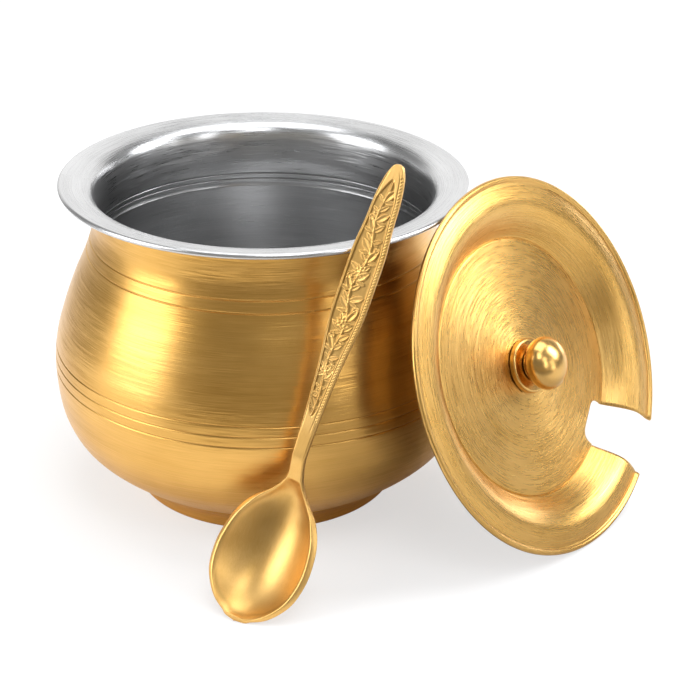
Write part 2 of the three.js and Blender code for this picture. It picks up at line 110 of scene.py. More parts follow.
class Bench:
    """Adds nodes to the tree of one material or of the world."""

    def __init__(self, tree: bpy.types.NodeTree) -> None:
        """Takes the tree to build in and empties it."""
        self.tree = tree
        tree.nodes.clear()

    def node(self, kind: str, settings: dict | None = None, sockets: dict | None = None) -> bpy.types.Node:
        """Adds a node, sets what it is, then fills its sockets.

        Args:
            kind: the node's type.
            settings: attribute values by name.
            sockets: values or links by socket name or number.

        Returns:
            The new node.
        """
        node = self.tree.nodes.new(kind)
        for name, value in (settings or {}).items():
            setattr(node, name, value)
        for key, value in (sockets or {}).items():
            self.plug(node.inputs[key], value)
        return node

    def plug(self, socket: bpy.types.NodeSocket, value: object) -> None:
        """Links a wire or a socket into a socket, or sets its value.

        Args:
            socket: the socket to fill.
            value: a wire, a socket or a plain value.
        """
        if isinstance(value, Wire):
            value = value.socket
        if isinstance(value, bpy.types.NodeSocket):
            self.tree.links.new(value, socket)
        else:
            socket.default_value = value

    def maths(self, operation: str, *values: "Wire | float") -> Wire:
        """Adds a Math node and returns its number."""
        node = self.node("ShaderNodeMath", {"operation": operation}, dict(enumerate(values)))
        return Wire(self, node.outputs[0])

    def piece_value(self, name: str) -> Wire:
        """Reads a number that the piece carries at each point."""
        node = self.node("ShaderNodeAttribute", {"attribute_name": name})
        return Wire(self, node.outputs["Fac"])

    def vector(self, operation: str, first: object, second: object) -> bpy.types.NodeSocket:
        """Adds a Vector Math node that joins two vectors, and returns its vector."""
        return self.node("ShaderNodeVectorMath", {"operation": operation}, {0: first, 1: second}).outputs[0]

    def scaled(self, vector: object, scale: "Wire | float") -> bpy.types.NodeSocket:
        """A vector times a number."""
        sockets = {0: vector, "Scale": scale}
        return self.node("ShaderNodeVectorMath", {"operation": "SCALE"}, sockets).outputs[0]

    def unit(self, vector: object) -> bpy.types.NodeSocket:
        """A vector brought to length 1."""
        return self.node("ShaderNodeVectorMath", {"operation": "NORMALIZE"}, {0: vector}).outputs[0]

    def mix(self, share: "Wire | float", first: object, second: object) -> bpy.types.NodeSocket:
        """Mixes two colours by a share from 0 to 1."""
        return self.node("ShaderNodeMix", {"data_type": "RGBA"}, {0: share, 6: first, 7: second}).outputs[2]

    def smooth(self, value: Wire, low: float, high: float) -> Wire:
        """Eases from 0 to 1.

        Args:
            value: the number to ease.
            low: where the result leaves 0.
            high: where it reaches 1.

        Returns:
            The eased number.
        """
        settings = {"interpolation_type": "SMOOTHSTEP"}
        node = self.node("ShaderNodeMapRange", settings, {0: value, 1: low, 2: high})
        return Wire(self, node.outputs[0])

    def noise(self, vector: object, scale: float, detail: float, roughness: float) -> Wire:
        """Noise from 0 to 1 at a place."""
        sockets = {"Vector": vector, "Scale": scale, "Detail": detail, "Roughness": roughness}
        return Wire(self, self.node("ShaderNodeTexNoise", {}, sockets).outputs[0])

    def split(self, vector: object) -> list[Wire]:
        """The three numbers of a vector."""
        parts = self.node("ShaderNodeSeparateXYZ", {}, {0: vector})
        return [Wire(self, socket) for socket in parts.outputs]

    def joined(self, *numbers: "Wire | float") -> bpy.types.NodeSocket:
        """A vector out of three numbers."""
        return self.node("ShaderNodeCombineXYZ", {}, dict(enumerate(numbers))).outputs[0]

    def own_place(self, place: "Placement") -> bpy.types.NodeSocket:
        """Where a point lies in its piece's own frame.

        Args:
            place: the piece's frame.

        Returns:
            The place along the piece's axes, in metres.
        """
        where = self.node("ShaderNodeTexCoord").outputs["Object"]
        sockets = {"Vector": where, "Location": place.shift(), "Rotation": place.turn()}
        return self.node("ShaderNodeMapping", {"vector_type": "POINT"}, sockets).outputs[0]

    def metal(self, sockets: dict) -> None:
        """Ends a material in a metal with the given sockets."""
        shader = self.node("ShaderNodeBsdfPrincipled", {}, {"Metallic": 1.0, **sockets})
        self.node("ShaderNodeOutputMaterial", {}, {0: shader.outputs[0]})


def opaque(colour: Triple, share: float = 1) -> tuple[float, float, float, float]:
    """A colour dimmed to a share, with full cover."""
    return (*(share * part for part in colour), 1)


def blank_material(name: str) -> tuple[bpy.types.Material, Bench]:
    """Makes a material with an empty tree.

    Args:
        name: the material's name.

    Returns:
        The material, and the bench that fills it.
    """
    material = bpy.data.materials.new(name)
    material.use_nodes = True
    return material, Bench(material.node_tree)


class Body(Enum):
    """The bodies that pieces ride on."""

    POT = "pot"
    LID = "lid"
    SPOON = "spoon"


@dataclass(frozen=True)
class Placement:
    """Where a piece's own frame lies in the model's frame.

    A point (a, b, c) of the piece lies at origin + a x + b y + c z.
    """

    origin: Triple = (0, 0, 0)
    x: Triple = (1, 0, 0)
    y: Triple = (0, 1, 0)
    z: Triple = (0, 0, 1)

    def place(self, points: np.ndarray) -> np.ndarray:
        """Moves points, whose last axis has length 3, into the model's frame."""
        return points @ np.array([self.x, self.y, self.z]) + np.array(self.origin)

    def turn(self) -> Triple:
        """Euler angles that bring the model's axes to the piece's own axes."""
        return tuple(Matrix((self.x, self.y, self.z)).to_euler("XYZ"))

    def shift(self) -> Triple:
        """Minus the origin, seen along the piece's axes, in metres."""
        moved = np.array([self.x, self.y, self.z]) @ np.array(self.origin)
        return plain(-moved * MM)


def plain(vector: np.ndarray) -> Triple:
    """A vector as plain numbers."""
    return tuple(vector.tolist())


POT_PLACE = Placement()


# Outline tools


def smoothstep(low: float, high: float, value: np.ndarray) -> np.ndarray:
    """Eases from 0 at low to 1 at high."""
    share = np.clip((value - low) / (high - low), 0, 1)
    return share * share * (3 - 2 * share)


def bell(value: np.ndarray, middle: np.ndarray | float, reach: float) -> np.ndarray:
    """Bell curve exp(-((value - middle) / reach)^2)."""
    return np.exp(-(((value - middle) / reach) ** 2))


def spline(points: Sequence, count: int) -> np.ndarray:
    """Smooth curve through points.

    On each stretch the place is the cubic that leaves point i along half of (next - before) and
    reaches point i + 1 along half of (the one after - i), with the end points doubled.

    Args:
        points: the points that the curve passes.
        count: how many stretches the result has.

    Returns:
        count + 1 points, at even steps of the parameter.
    """
    knots = np.array(points, float)
    last = len(knots) - 1
    place = np.linspace(0, last, count + 1)
    index = np.minimum(place.astype(int), last - 1)
    t = (place - index)[:, None]
    before = knots[np.maximum(index - 1, 0)]
    here = knots[index]
    ahead = knots[index + 1]
    after = knots[np.minimum(index + 2, last)]
    leave = (ahead - before) / 2
    reach = (after - here) / 2
    cubic = (2 * here - 2 * ahead + leave + reach) * t**3
    square = (3 * ahead - 3 * here - 2 * leave - reach) * t**2
    return cubic + square + leave * t + here


def left_of(outline: np.ndarray) -> np.ndarray:
    """Which way is left of an outline's direction of travel.

    Args:
        outline: points in order.

    Returns:
        A vector of length 1 at each point.
    """
    along = np.gradient(outline, axis=0)
    along /= np.linalg.norm(along, axis=1, keepdims=True)
    return np.stack([-along[:, 1], along[:, 0]], axis=1)


def offset(outline: np.ndarray, distance: float) -> np.ndarray:
    """Moves an outline sideways, and not past the axis.

    Args:
        outline: points [radius, height].
        distance: how far each point moves to the left of the direction of travel.

    Returns:
        The moved points.
    """
    moved = outline + left_of(outline) * distance
    moved[:, 0] = np.maximum(moved[:, 0], 0)
    return moved


def corner_curve(start: np.ndarray, corner: np.ndarray, end: np.ndarray, share: np.ndarray) -> np.ndarray:
    """Rounds one corner: (1-t)^2 start + 2t(1-t) corner + t^2 end."""
    return (1 - share) ** 2 * start + 2 * share * (1 - share) * corner + share**2 * end


def soften(corners: Sequence, cuts: Sequence[float], steps: int) -> np.ndarray:
    """Rounds the corners of a line of points.

    Each corner becomes the curve of corner_curve between the points that lie a cut's length away
    from the corner along its two sides.

    Args:
        corners: the points, in order.
        cuts: the length to cut at each point; zero keeps it.
        steps: stretches in each rounded corner.

    Returns:
        The new line of points.
    """
    line = np.array(corners, float)
    share = np.linspace(0, 1, steps + 1)[:, None]
    result = []
    for index, cut in enumerate(cuts):
        corner = line[index]
        if cut == 0:
            result.append(corner[None])
            continue
        back = line[index - 1] - corner
        ahead = line[(index + 1) % len(line)] - corner
        start = corner + back / np.linalg.norm(back) * cut
        end = corner + ahead / np.linalg.norm(ahead) * cut
        result.append(corner_curve(start, corner, end, share))
    return np.concatenate(result)


def resample(
    outline: np.ndarray,
    step: float,
    places: Sequence[float],
    reach: float,
    fine: float,
) -> np.ndarray:
    """Spaces an outline's points evenly, with closer ones around some heights.

    Points nearer to each other than a third of the fine spacing are dropped.

    Args:
        outline: points [radius, height] whose height rises.
        step: the even spacing along the outline.
        places: heights that need closer points.
        reach: how far to either side the closer points go.
        fine: their spacing.

    Returns:
        The outline at the new places.
    """
    run = np.concatenate([[0], np.cumsum(np.linalg.norm(np.diff(outline, axis=0), axis=1))])
    stations = [np.arange(0, run[-1], step), [run[-1]]]
    for height in places:
        middle = np.interp(height, outline[:, 1], run)
        stations.append(np.arange(middle - reach, middle + reach, fine))
    where = np.unique(np.clip(np.concatenate(stations), 0, run[-1]))
    keep = np.concatenate([[True], np.diff(where) > fine / 3])
    where = where[keep]
    return np.stack([np.interp(where, run, outline[:, axis]) for axis in (0, 1)], axis=1)


def line_profile(outline: np.ndarray, height: float, width: float) -> np.ndarray:
    """Share of a line's depth at each point: cos^2(pi d / width) at a distance d in height."""
    away = np.clip(np.abs(outline[:, 1] - height) / width, 0, 0.5)
    return np.cos(math.pi * away) ** 2


def line_shade(outline: np.ndarray, heights: Sequence[float], width: float) -> np.ndarray:
    """How deep each point lies in the nearest line, from 0 to 1."""
    return np.max([line_profile(outline, height, width) for height in heights], axis=0)


def engrave(outline: np.ndarray, heights: Sequence[float], width: float, depth: float) -> np.ndarray:
    """Works rounded lines into an outline.

    Args:
        outline: points [radius, height], in order.
        heights: the lines' heights.
        width: a line's width.
        depth: how far a line's middle moves to the left of the direction of travel, or to the
            right where it is negative.

    Returns:
        The outline with its lines.
    """
    pressed = sum(line_profile(outline, height, width) * depth for height in heights)
    return outline + left_of(outline) * pressed[:, None]


# Mesh tools


def grid_faces(rows: int, columns: int, ring_rows: bool, ring_columns: bool) -> np.ndarray:
    """Four corners of every square of a grid of points.

    Args:
        rows: number of rows of points.
        columns: number of columns of points.
        ring_rows: whether the last row joins the first.
        ring_columns: whether the last column joins the first.

    Returns:
        Indices with shape (squares, 4).
    """
    row = np.arange(rows if ring_rows else rows - 1)
    column = np.arange(columns if ring_columns else columns - 1)
    i, j = [part.ravel() for part in np.meshgrid(row, column, indexing="ij")]
    below = (i + 1) % rows
    beside = (j + 1) % columns
    corners = [i * columns + j, i * columns + beside, below * columns + beside, below * columns + j]
    return np.stack(corners, axis=1)


def ring_points(outline: np.ndarray, angle: np.ndarray) -> np.ndarray:
    """Turns an outline: the point [r, h] lies at (r cos a, r sin a, h).

    Args:
        outline: points [radius, height].
        angle: angles for every point, or rows of angles, one row for each point.

    Returns:
        Places with shape (points, angles, 3).
    """
    radius = outline[:, :1]
    height = np.repeat(outline[:, 1:], angle.shape[-1], axis=1)
    return np.stack([radius * np.cos(angle), radius * np.sin(angle), height], axis=2)


def closed_object(
    name: str,
    points: np.ndarray,
    faces: list,
    shade: np.ndarray | None,
    merge: bool,
) -> bpy.types.Object:
    """Makes one smooth object whose faces point outwards.

    Args:
        name: the object's name.
        points: places (n, 3) in the model's frame, in millimetres.
        faces: lists of indices.
        shade: painted shade at each point, from 0 to 1, or None where none is.
        merge: whether points on the same place become one.

    Returns:
        The object, with its place in its mesh.
    """
    mesh = bpy.data.meshes.new(name)
    mesh.from_pydata((points * MM).tolist(), [], faces)
    if shade is not None:
        values = mesh.attributes.new(PAINTED_SHADE, "FLOAT", "POINT").data
        values.foreach_set("value", np.ascontiguousarray(shade.ravel(), np.float32))
    work = bmesh.new()
    work.from_mesh(mesh)
    if merge:
        bmesh.ops.remove_doubles(work, verts=work.verts, dist=MERGE_DISTANCE)
    bmesh.ops.recalc_face_normals(work, faces=work.faces)
    work.to_mesh(mesh)
    work.free()
    mesh.shade_smooth()
    piece = bpy.data.objects.new(name, mesh)
    bpy.context.scene.collection.objects.link(piece)
    return piece


def mesh_piece(
    name: str,
    parts: list,
    place: Placement,
    shade: np.ndarray | None = None,
) -> bpy.types.Object:
    """Makes one closed object out of grids of points.

    Args:
        name: the object's name.
        parts: pairs of points (..., 3) in millimetres and faces (m, 4) that index them.
        place: the frame that the points are in.
        shade: painted shade at each point, or None.

    Returns:
        The object.
    """
    points = []
    faces = []
    start = 0
    for part_points, part_faces in parts:
        flat = part_points.reshape(-1, 3)
        points.append(flat)
        faces.extend((part_faces + start).tolist())
        start += len(flat)
    return closed_object(name, place.place(np.concatenate(points)), faces, shade, True)


def turned_piece(
    name: str,
    outline: np.ndarray,
    segments: int,
    place: Placement,
    ring: bool,
    shade: np.ndarray | None = None,
) -> bpy.types.Object:
    """Turns an outline about its axis.

    Args:
        name: the object's name.
        outline: points [radius, height].
        segments: columns round the axis.
        place: the frame whose third axis is the turning axis.
        ring: whether the outline closes on itself.
        shade: painted shade at each point of the outline, or None.

    Returns:
        The turned object.
    """
    points = ring_points(outline, np.arange(segments) / segments * FULL_TURN)
    faces = grid_faces(len(outline), segments, ring, True)
    around = None if shade is None else np.repeat(shade[:, None], segments, axis=1)
    return mesh_piece(name, [(points, faces)], place, around)


def dress(piece: bpy.types.Object, material: bpy.types.Material) -> None:
    """Gives a piece its only material."""
    piece.data.materials.clear()
    piece.data.materials.append(material)


def stand_for(piece: bpy.types.Object, body: Body, node: str) -> None:
    """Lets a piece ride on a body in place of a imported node.

    Args:
        piece: the finished object.
        body: the body that it moves with.
        node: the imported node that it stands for.
    """
    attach(piece, body.value)
    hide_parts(node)
    LOG.info("%s rides on %s, %d faces", piece.name, body.value, len(piece.data.polygons))


def mount(body: Body, made: list[tuple]) -> None:
    """Dresses finished pieces and lets them ride on a body.

    Args:
        body: the body that they move with.
        made: for each, the object, its material, the node that it stands for and the slot.
    """
    for piece, material, node, slot in made:
        dress(piece, material)
        stand_for(piece, body, node)


# Finishes


@dataclass(frozen=True)
class TurnedMetal:
    """Metal brushed in rings round the axis of the piece.

    Fine rings come from noise of the distance to the axis and of the height, stretched along the
    ring. They tilt the surface up and down across the rings, as brushing does. Wider streaks also
    change the colour and the roughness a little, and broad rings and clouds tone the colour.

    The three tone_shares weigh broad rings, clouds and streaks. The three roughness_swings are
    those of streaks, clouds and painted shade. A turns value says how fast a noise changes along a
    ring.
    """

    name: str
    light: Triple
    deep: Triple
    roughness: float
    tilt: float
    place: Placement
    anisotropy: float = 0
    anisotropy_turn: float = 0.25
    streak_size: float = 0.26
    streak_turns: float = 4.5
    streak_share: float = 0.4
    grain_size: float = 0.05
    grain_turns: float = 3
    broad_size: float = 6
    broad_turns: float = 0.8
    cloud_scale: float = 45
    tone_shares: Triple = (0.35, 0.3, 0.35)
    tone_limits: Pair = (0.32, 0.68)
    roughness_swings: Triple = (0.12, 0.08, 0.15)
    painted_shade_cover: float = 0.8
    painted_shade_dim: float = 0.25

    def rings(self, bench: Bench, radius: Wire, z: Wire, angle: Wire, size: float, turns: float) -> Wire:
        """Noise that runs along the rings.

        Args:
            bench: the tree's builder.
            radius: distance to the axis in metres.
            z: height along the axis in metres.
            angle: angle about the axis.
            size: width of a ring in millimetres.
            turns: how fast the noise changes along the ring.

        Returns:
            The noise, from 0 to 1.
        """
        fine = 1 / (size * MM)
        where = bench.joined(radius * fine, z * fine, angle * turns)
        return bench.noise(where, scale=1, detail=2, roughness=0.6)

    def brushed(self, bench: Bench, x: Wire, y: Wire, radius: Wire, swing: Wire) -> bpy.types.NodeSocket:
        """Normal that leans across the rings.

        The ring runs along (-y, x) / radius, and its cross product with the normal points across.

        Args:
            bench: the tree's builder.
            x: place along the piece's first axis.
            y: place along its second axis.
            radius: distance to the axis.
            swing: how far the normal leans, as a share of the tilt.

        Returns:
            The leaning normal.
        """
        along_x = bench.scaled(self.place.x, y / radius * -1)
        along_y = bench.scaled(self.place.y, x / radius)
        normal = bench.node("ShaderNodeNewGeometry").outputs["Normal"]
        across = bench.vector("CROSS_PRODUCT", bench.vector("ADD", along_x, along_y), normal)
        return bench.unit(bench.vector("ADD", normal, bench.scaled(across, swing * self.tilt)))

    def material(self) -> bpy.types.Material:
        """Builds the material.

        Returns:
            The material.
        """
        material, bench = blank_material(self.name)
        own = bench.own_place(self.place)
        x, y, z = bench.split(own)
        radius = bench.maths("MAXIMUM", bench.maths("SQRT", x * x + y * y), AXIS_CLEARANCE)
        angle = bench.maths("ARCTAN2", y, x)
        streaks = self.rings(bench, radius, z, angle, self.streak_size, self.streak_turns)
        grain = self.rings(bench, radius, z, angle, self.grain_size, self.grain_turns)
        broad = self.rings(bench, radius, z, angle, self.broad_size, self.broad_turns)
        cloud = bench.noise(own, self.cloud_scale, detail=3, roughness=0.5)
        painted_shade = bench.piece_value(PAINTED_SHADE)

        broad_tone, cloud_tone, streak_tone = self.tone_shares
        blend = broad * broad_tone + cloud * cloud_tone + streaks * streak_tone
        colour = bench.mix(bench.smooth(blend, *self.tone_limits), opaque(self.deep), opaque(self.light))
        # Painted shade: where the point's value is high, the colour turns towards a dim deep tone.
        colour = bench.mix(painted_shade * self.painted_shade_cover, colour, opaque(self.deep, self.painted_shade_dim))
        streak_swing, cloud_swing, dull_swing = self.roughness_swings
        roughness = self.roughness + (streaks - 0.5) * streak_swing + (cloud - 0.5) * cloud_swing
        swing = (grain - 0.5) * (1 - self.streak_share) + (streaks - 0.5) * self.streak_share
        bench.metal(
            {
                "Base Color": colour,
                "Roughness": roughness + painted_shade * dull_swing,
                "Anisotropic": self.anisotropy,
                "Anisotropic Rotation": self.anisotropy_turn,
                "Normal": self.brushed(bench, x, y, radius, swing),
            }
        )
        return material


@dataclass(frozen=True)
class CastMetal:
    """Plain satin metal with soft clouds of tone and fine scratches.

    The three scratches are how many there are in a metre across, along and through the piece. The
    two tone_shares weigh clouds and scratches. The three roughness_swings are those of clouds,
    scratches and painted shade.
    """

    name: str
    light: Triple
    deep: Triple
    roughness: float
    grain: float
    place: Placement
    scratches: Triple = (3000, 350, 3000)
    cloud_scale: float = 90
    tone_shares: Pair = (0.7, 0.3)
    tone_limits: Pair = (0.3, 0.7)
    roughness_swings: Triple = (0.1, 0.1, 0.1)
    painted_shade_dim: float = 0.3

    def material(self) -> bpy.types.Material:
        """Builds the material.

        Returns:
            The material.
        """
        material, bench = blank_material(self.name)
        own = bench.own_place(self.place)
        stretched = [wire * count for wire, count in zip(bench.split(own), self.scratches)]
        scratches = bench.noise(bench.joined(*stretched), scale=1, detail=3, roughness=0.6)
        cloud = bench.noise(own, self.cloud_scale, detail=3, roughness=0.5)
        painted_shade = bench.piece_value(PAINTED_SHADE)

        cloud_tone, scratch_tone = self.tone_shares
        tone = bench.smooth(cloud * cloud_tone + scratches * scratch_tone, *self.tone_limits)
        colour = bench.mix(tone, opaque(self.deep), opaque(self.light))
        # Painted shade: where the point's value is high, the colour turns towards a dim deep tone.
        colour = bench.mix(painted_shade, colour, opaque(self.deep, self.painted_shade_dim))
        cloud_swing, scratch_swing, dull_swing = self.roughness_swings
        roughness = self.roughness + (cloud - 0.5) * cloud_swing + (scratches - 0.5) * scratch_swing
        sockets = {"Strength": 1.0, "Distance": self.grain * MM, "Height": scratches}
        bump = bench.node("ShaderNodeBump", {}, sockets).outputs[0]
        bench.metal({"Base Color": colour, "Roughness": roughness + painted_shade * dull_swing, "Normal": bump})
        return material


# Pot


@dataclass
class Pot:
    """Brass pot with a steel liner, standing on a shallow foot pan."""

    height: float = 88
    rim_radius: float = 55
    neck_radius: float = 46.2
    flange_rise: float = 9.5
    throat_spread: float = 0.3
    flange_dish: float = 1.1
    flare_power: float = 0.3
    belly_radius: float = 57.9
    sheet: float = 0.5
    sheet_gap: float = 0.1
    edge_inset: float = 0.3
    edge_clearance: float = 0.1
    bottom_height: float = 2.2
    bottom_flat_radius: float = 24
    foot_radius: float = 36.4
    foot_height: float = 6
    foot_top_radius: float = 38.9
    foot_sheet: float = 1.2
    foot_seat: float = 0.3
    foot_lip: float = 0.4
    foot_bulge: float = 0.35
    foot_bulge_height: float = 3
    groove_inner: float = 27
    groove_outer: float = 31
    groove_depth: float = 0.5
    belly_lines: Triple = (36.4, 39.3, 42.1)
    shoulder_lines: Pair = (69.2, 72.3)
    shell_line_painted_shade: float = 0.35
    liner_ridge: float = 68.2
    ridge_width: float = 1.3
    ridge_rise: float = 0.6
    liner_lines: Pair = (70.3, 72.1)
    line_width: float = 0.62
    line_depth: float = 0.2
    bead_radius: float = 0.75
    inside_painted_shade: float = 0.12
    inside_painted_shade_drops: Pair = (4.5, 2.5)
    segments: int = 192
    wall_step: float = 1.1
    close_reach: float = 0.9
    close_rows: int = 8
    bend_drops: Triple = (2.8, 1.9, 1.1)
    body_shares: tuple[Pair, ...] = (
        (0.735, 0.102),
        (0.831, 0.153),
        (0.904, 0.204),
        (0.948, 0.255),
        (0.983, 0.331),
        (1, 0.459),
        (0.987, 0.561),
        (0.949, 0.662),
        (0.899, 0.764),
        (0.839, 0.866),
        (0.801, 0.955),
    )

    @property
    def neck_height(self) -> float:
        """Height where the flare begins."""
        return self.height - self.flange_rise

    @property
    def flange_underside(self) -> float:
        """Height of the brass flange's underside at its edge."""
        return self.height - 2 * self.sheet - self.sheet_gap

    def wall(self) -> np.ndarray:
        """Outside of the brass wall from the foot to the flange's edge.

        The belly is a smooth curve through its guide points, whose shares are of the belly's radius
        and of the neck's height. Above the neck, with s = sin(a)^p and c = cos(a)^p, the height is
        neck + rise s - dish c s and the radius is neck + spread s + run (1 - c).

        Returns:
            Points [radius, height], from the foot up.
        """
        guide = [(self.foot_top_radius, self.foot_height)]
        guide += [(self.belly_radius * r, self.neck_height * z) for r, z in self.body_shares]
        guide.append((self.neck_radius, self.neck_height))
        belly = spline(guide, 600)
        angle = np.concatenate([np.geomspace(0.002, 0.2, 16), np.linspace(0.24, math.pi / 2, 60)])
        run = self.rim_radius - self.edge_inset - self.neck_radius - self.throat_spread
        rise = self.flange_underside - self.neck_height
        lifted = np.sin(angle) ** self.flare_power
        bent = 1 - np.maximum(np.cos(angle), 0) ** self.flare_power
        bent[-1] = 1
        radius = self.neck_radius + self.throat_spread * lifted + run * bent
        height = self.neck_height + rise * lifted - self.flange_dish * (1 - bent) * lifted
        return np.concatenate([belly, np.stack([radius, height], axis=1)])

    def whole_wall(self, lines: Sequence[float]) -> np.ndarray:
        """The wall with the pot's bottom before it.

        Args:
            lines: heights that need closer points; those of the flange's bend are added.

        Returns:
            Points [radius, height], from the axis out and up.
        """
        wall = self.wall()
        bottom = [[0, self.bottom_height], [self.bottom_flat_radius, self.bottom_height]]
        run = np.array([*bottom, wall[0]])
        bend = [self.flange_underside - drop for drop in self.bend_drops]
        reach, fine = self.close_reach * self.line_width, self.line_width / self.close_rows
        even = resample(wall, self.wall_step, [*lines, *bend], reach, fine)
        share = np.linspace(0, 1, 8)[1:-1, None]
        slope = run[1] + (run[2] - run[1]) * share
        return np.concatenate([run[:2], slope, even])

    def short_of(self, outline: np.ndarray, radius: float) -> np.ndarray:
        """An outline without the part of its flange that reaches past a radius."""
        return outline[(outline[:, 0] < radius) | (outline[:, 1] < self.neck_height)]

    def build_shell(self) -> bpy.types.Object:
        """Brass wall: the outside with its engraved lines, a round flange edge, and the inside.

        Returns:
            The shell.
        """
        lines = self.belly_lines + self.shoulder_lines
        wall = self.whole_wall(lines)
        tucked = self.rim_radius - 2 * self.bead_radius - self.edge_clearance
        outside = self.short_of(engrave(wall, lines, self.line_width, self.line_depth), tucked)
        inside = self.short_of(offset(wall, self.sheet)[::-1], tucked)
        tip = (outside[-1] + inside[0]) / 2
        radius = self.sheet / 2
        angle = np.linspace(-math.pi / 2, math.pi / 2, 9)[1:-1]
        edge = np.stack([tip[0] - radius + radius * np.cos(angle), tip[1] + radius * np.sin(angle)], axis=1)
        outside[-1, 0] -= radius
        inside[0, 0] -= radius
        outline = np.concatenate([outside, edge, inside])
        shade = np.zeros(len(outline))
        # Painted shade in the engraved lines of the outside.
        shade[: len(outside)] = self.shell_line_painted_shade * line_shade(outside, lines, self.line_width)
        return turned_piece("pot_shell", outline, self.segments, POT_PLACE, False, shade)

    def build_liner(self) -> bpy.types.Object:
        """Steel liner: it follows the wall inside, and its flange ends in a bead over the brass.

        Returns:
            The liner.
        """
        wall = self.whole_wall([self.liner_ridge, *self.liner_lines])
        inside = offset(wall, 2 * self.sheet + self.sheet_gap)
        inside = engrave(inside, [self.liner_ridge], self.ridge_width, self.ridge_rise)
        inside = engrave(inside, self.liner_lines, self.line_width, -self.line_depth)
        radius = self.bead_radius
        centre = self.rim_radius - radius
        angle = np.radians(np.linspace(-200, 90, 33))
        middle = self.height - radius
        edge = np.stack([centre + radius * np.cos(angle), middle + radius * np.sin(angle)], axis=1)
        outside = offset(wall, self.sheet + self.sheet_gap)
        outside = self.short_of(outside, edge[0, 0] - self.edge_clearance)
        inside = self.short_of(inside, centre - self.edge_clearance)
        outline = np.concatenate([outside, edge, inside[::-1]])
        # Painted shade: the inside darkens below the flange, and in the two engraved lines.
        low, high = [self.height - drop for drop in self.inside_painted_shade_drops]
        deep_painted_shade = self.inside_painted_shade * (1 - smoothstep(low, high, inside[:, 1]))
        lined = line_shade(inside, self.liner_lines, self.line_width)
        shade = np.concatenate([np.zeros(len(outside) + len(edge)), np.maximum(lined, deep_painted_shade)[::-1]])
        return turned_piece("pot_liner", outline, self.segments, POT_PLACE, False, shade)

    def build_foot(self) -> bpy.types.Object:
        """Foot pan: a shallow dish, grooved below, whose upper edge meets the belly.

        Returns:
            The foot pan.
        """
        outer_top = self.foot_height - self.foot_seat
        corners = [
            (0, 0),
            (self.groove_inner, 0),
            (self.groove_inner + self.groove_depth, self.groove_depth),
            (self.groove_outer - self.groove_depth, self.groove_depth),
            (self.groove_outer, 0),
            (self.foot_radius, 0),
            (self.foot_radius + self.foot_bulge, self.foot_bulge_height),
            (self.foot_top_radius, outer_top),
            (self.foot_top_radius - self.foot_sheet, outer_top - self.foot_lip),
            (self.foot_radius - self.foot_sheet, self.foot_sheet),
            (0, self.foot_sheet),
        ]
        cuts = [0, 0.2, 0.2, 0.2, 0.2, 0.8, 1.6, 0.35, 0.3, 0.8, 0]
        return turned_piece("pot_foot", soften(corners, cuts, 6), self.segments, POT_PLACE, False)

    def build(self, brass: bpy.types.Material, steel: bpy.types.Material) -> None:
        """Builds, dresses and mounts the three pieces of the pot.

        Args:
            brass: the finish of the shell and the foot.
            steel: the finish of the liner.
        """
        made = [
            (self.build_shell(), brass, "outer_shell", "shell_brass"),
            (self.build_liner(), steel, "inner_liner", "liner_steel"),
            (self.build_foot(), brass, "foot_pan", "shell_brass"),
        ]
        mount(Body.POT, made)


# Lid


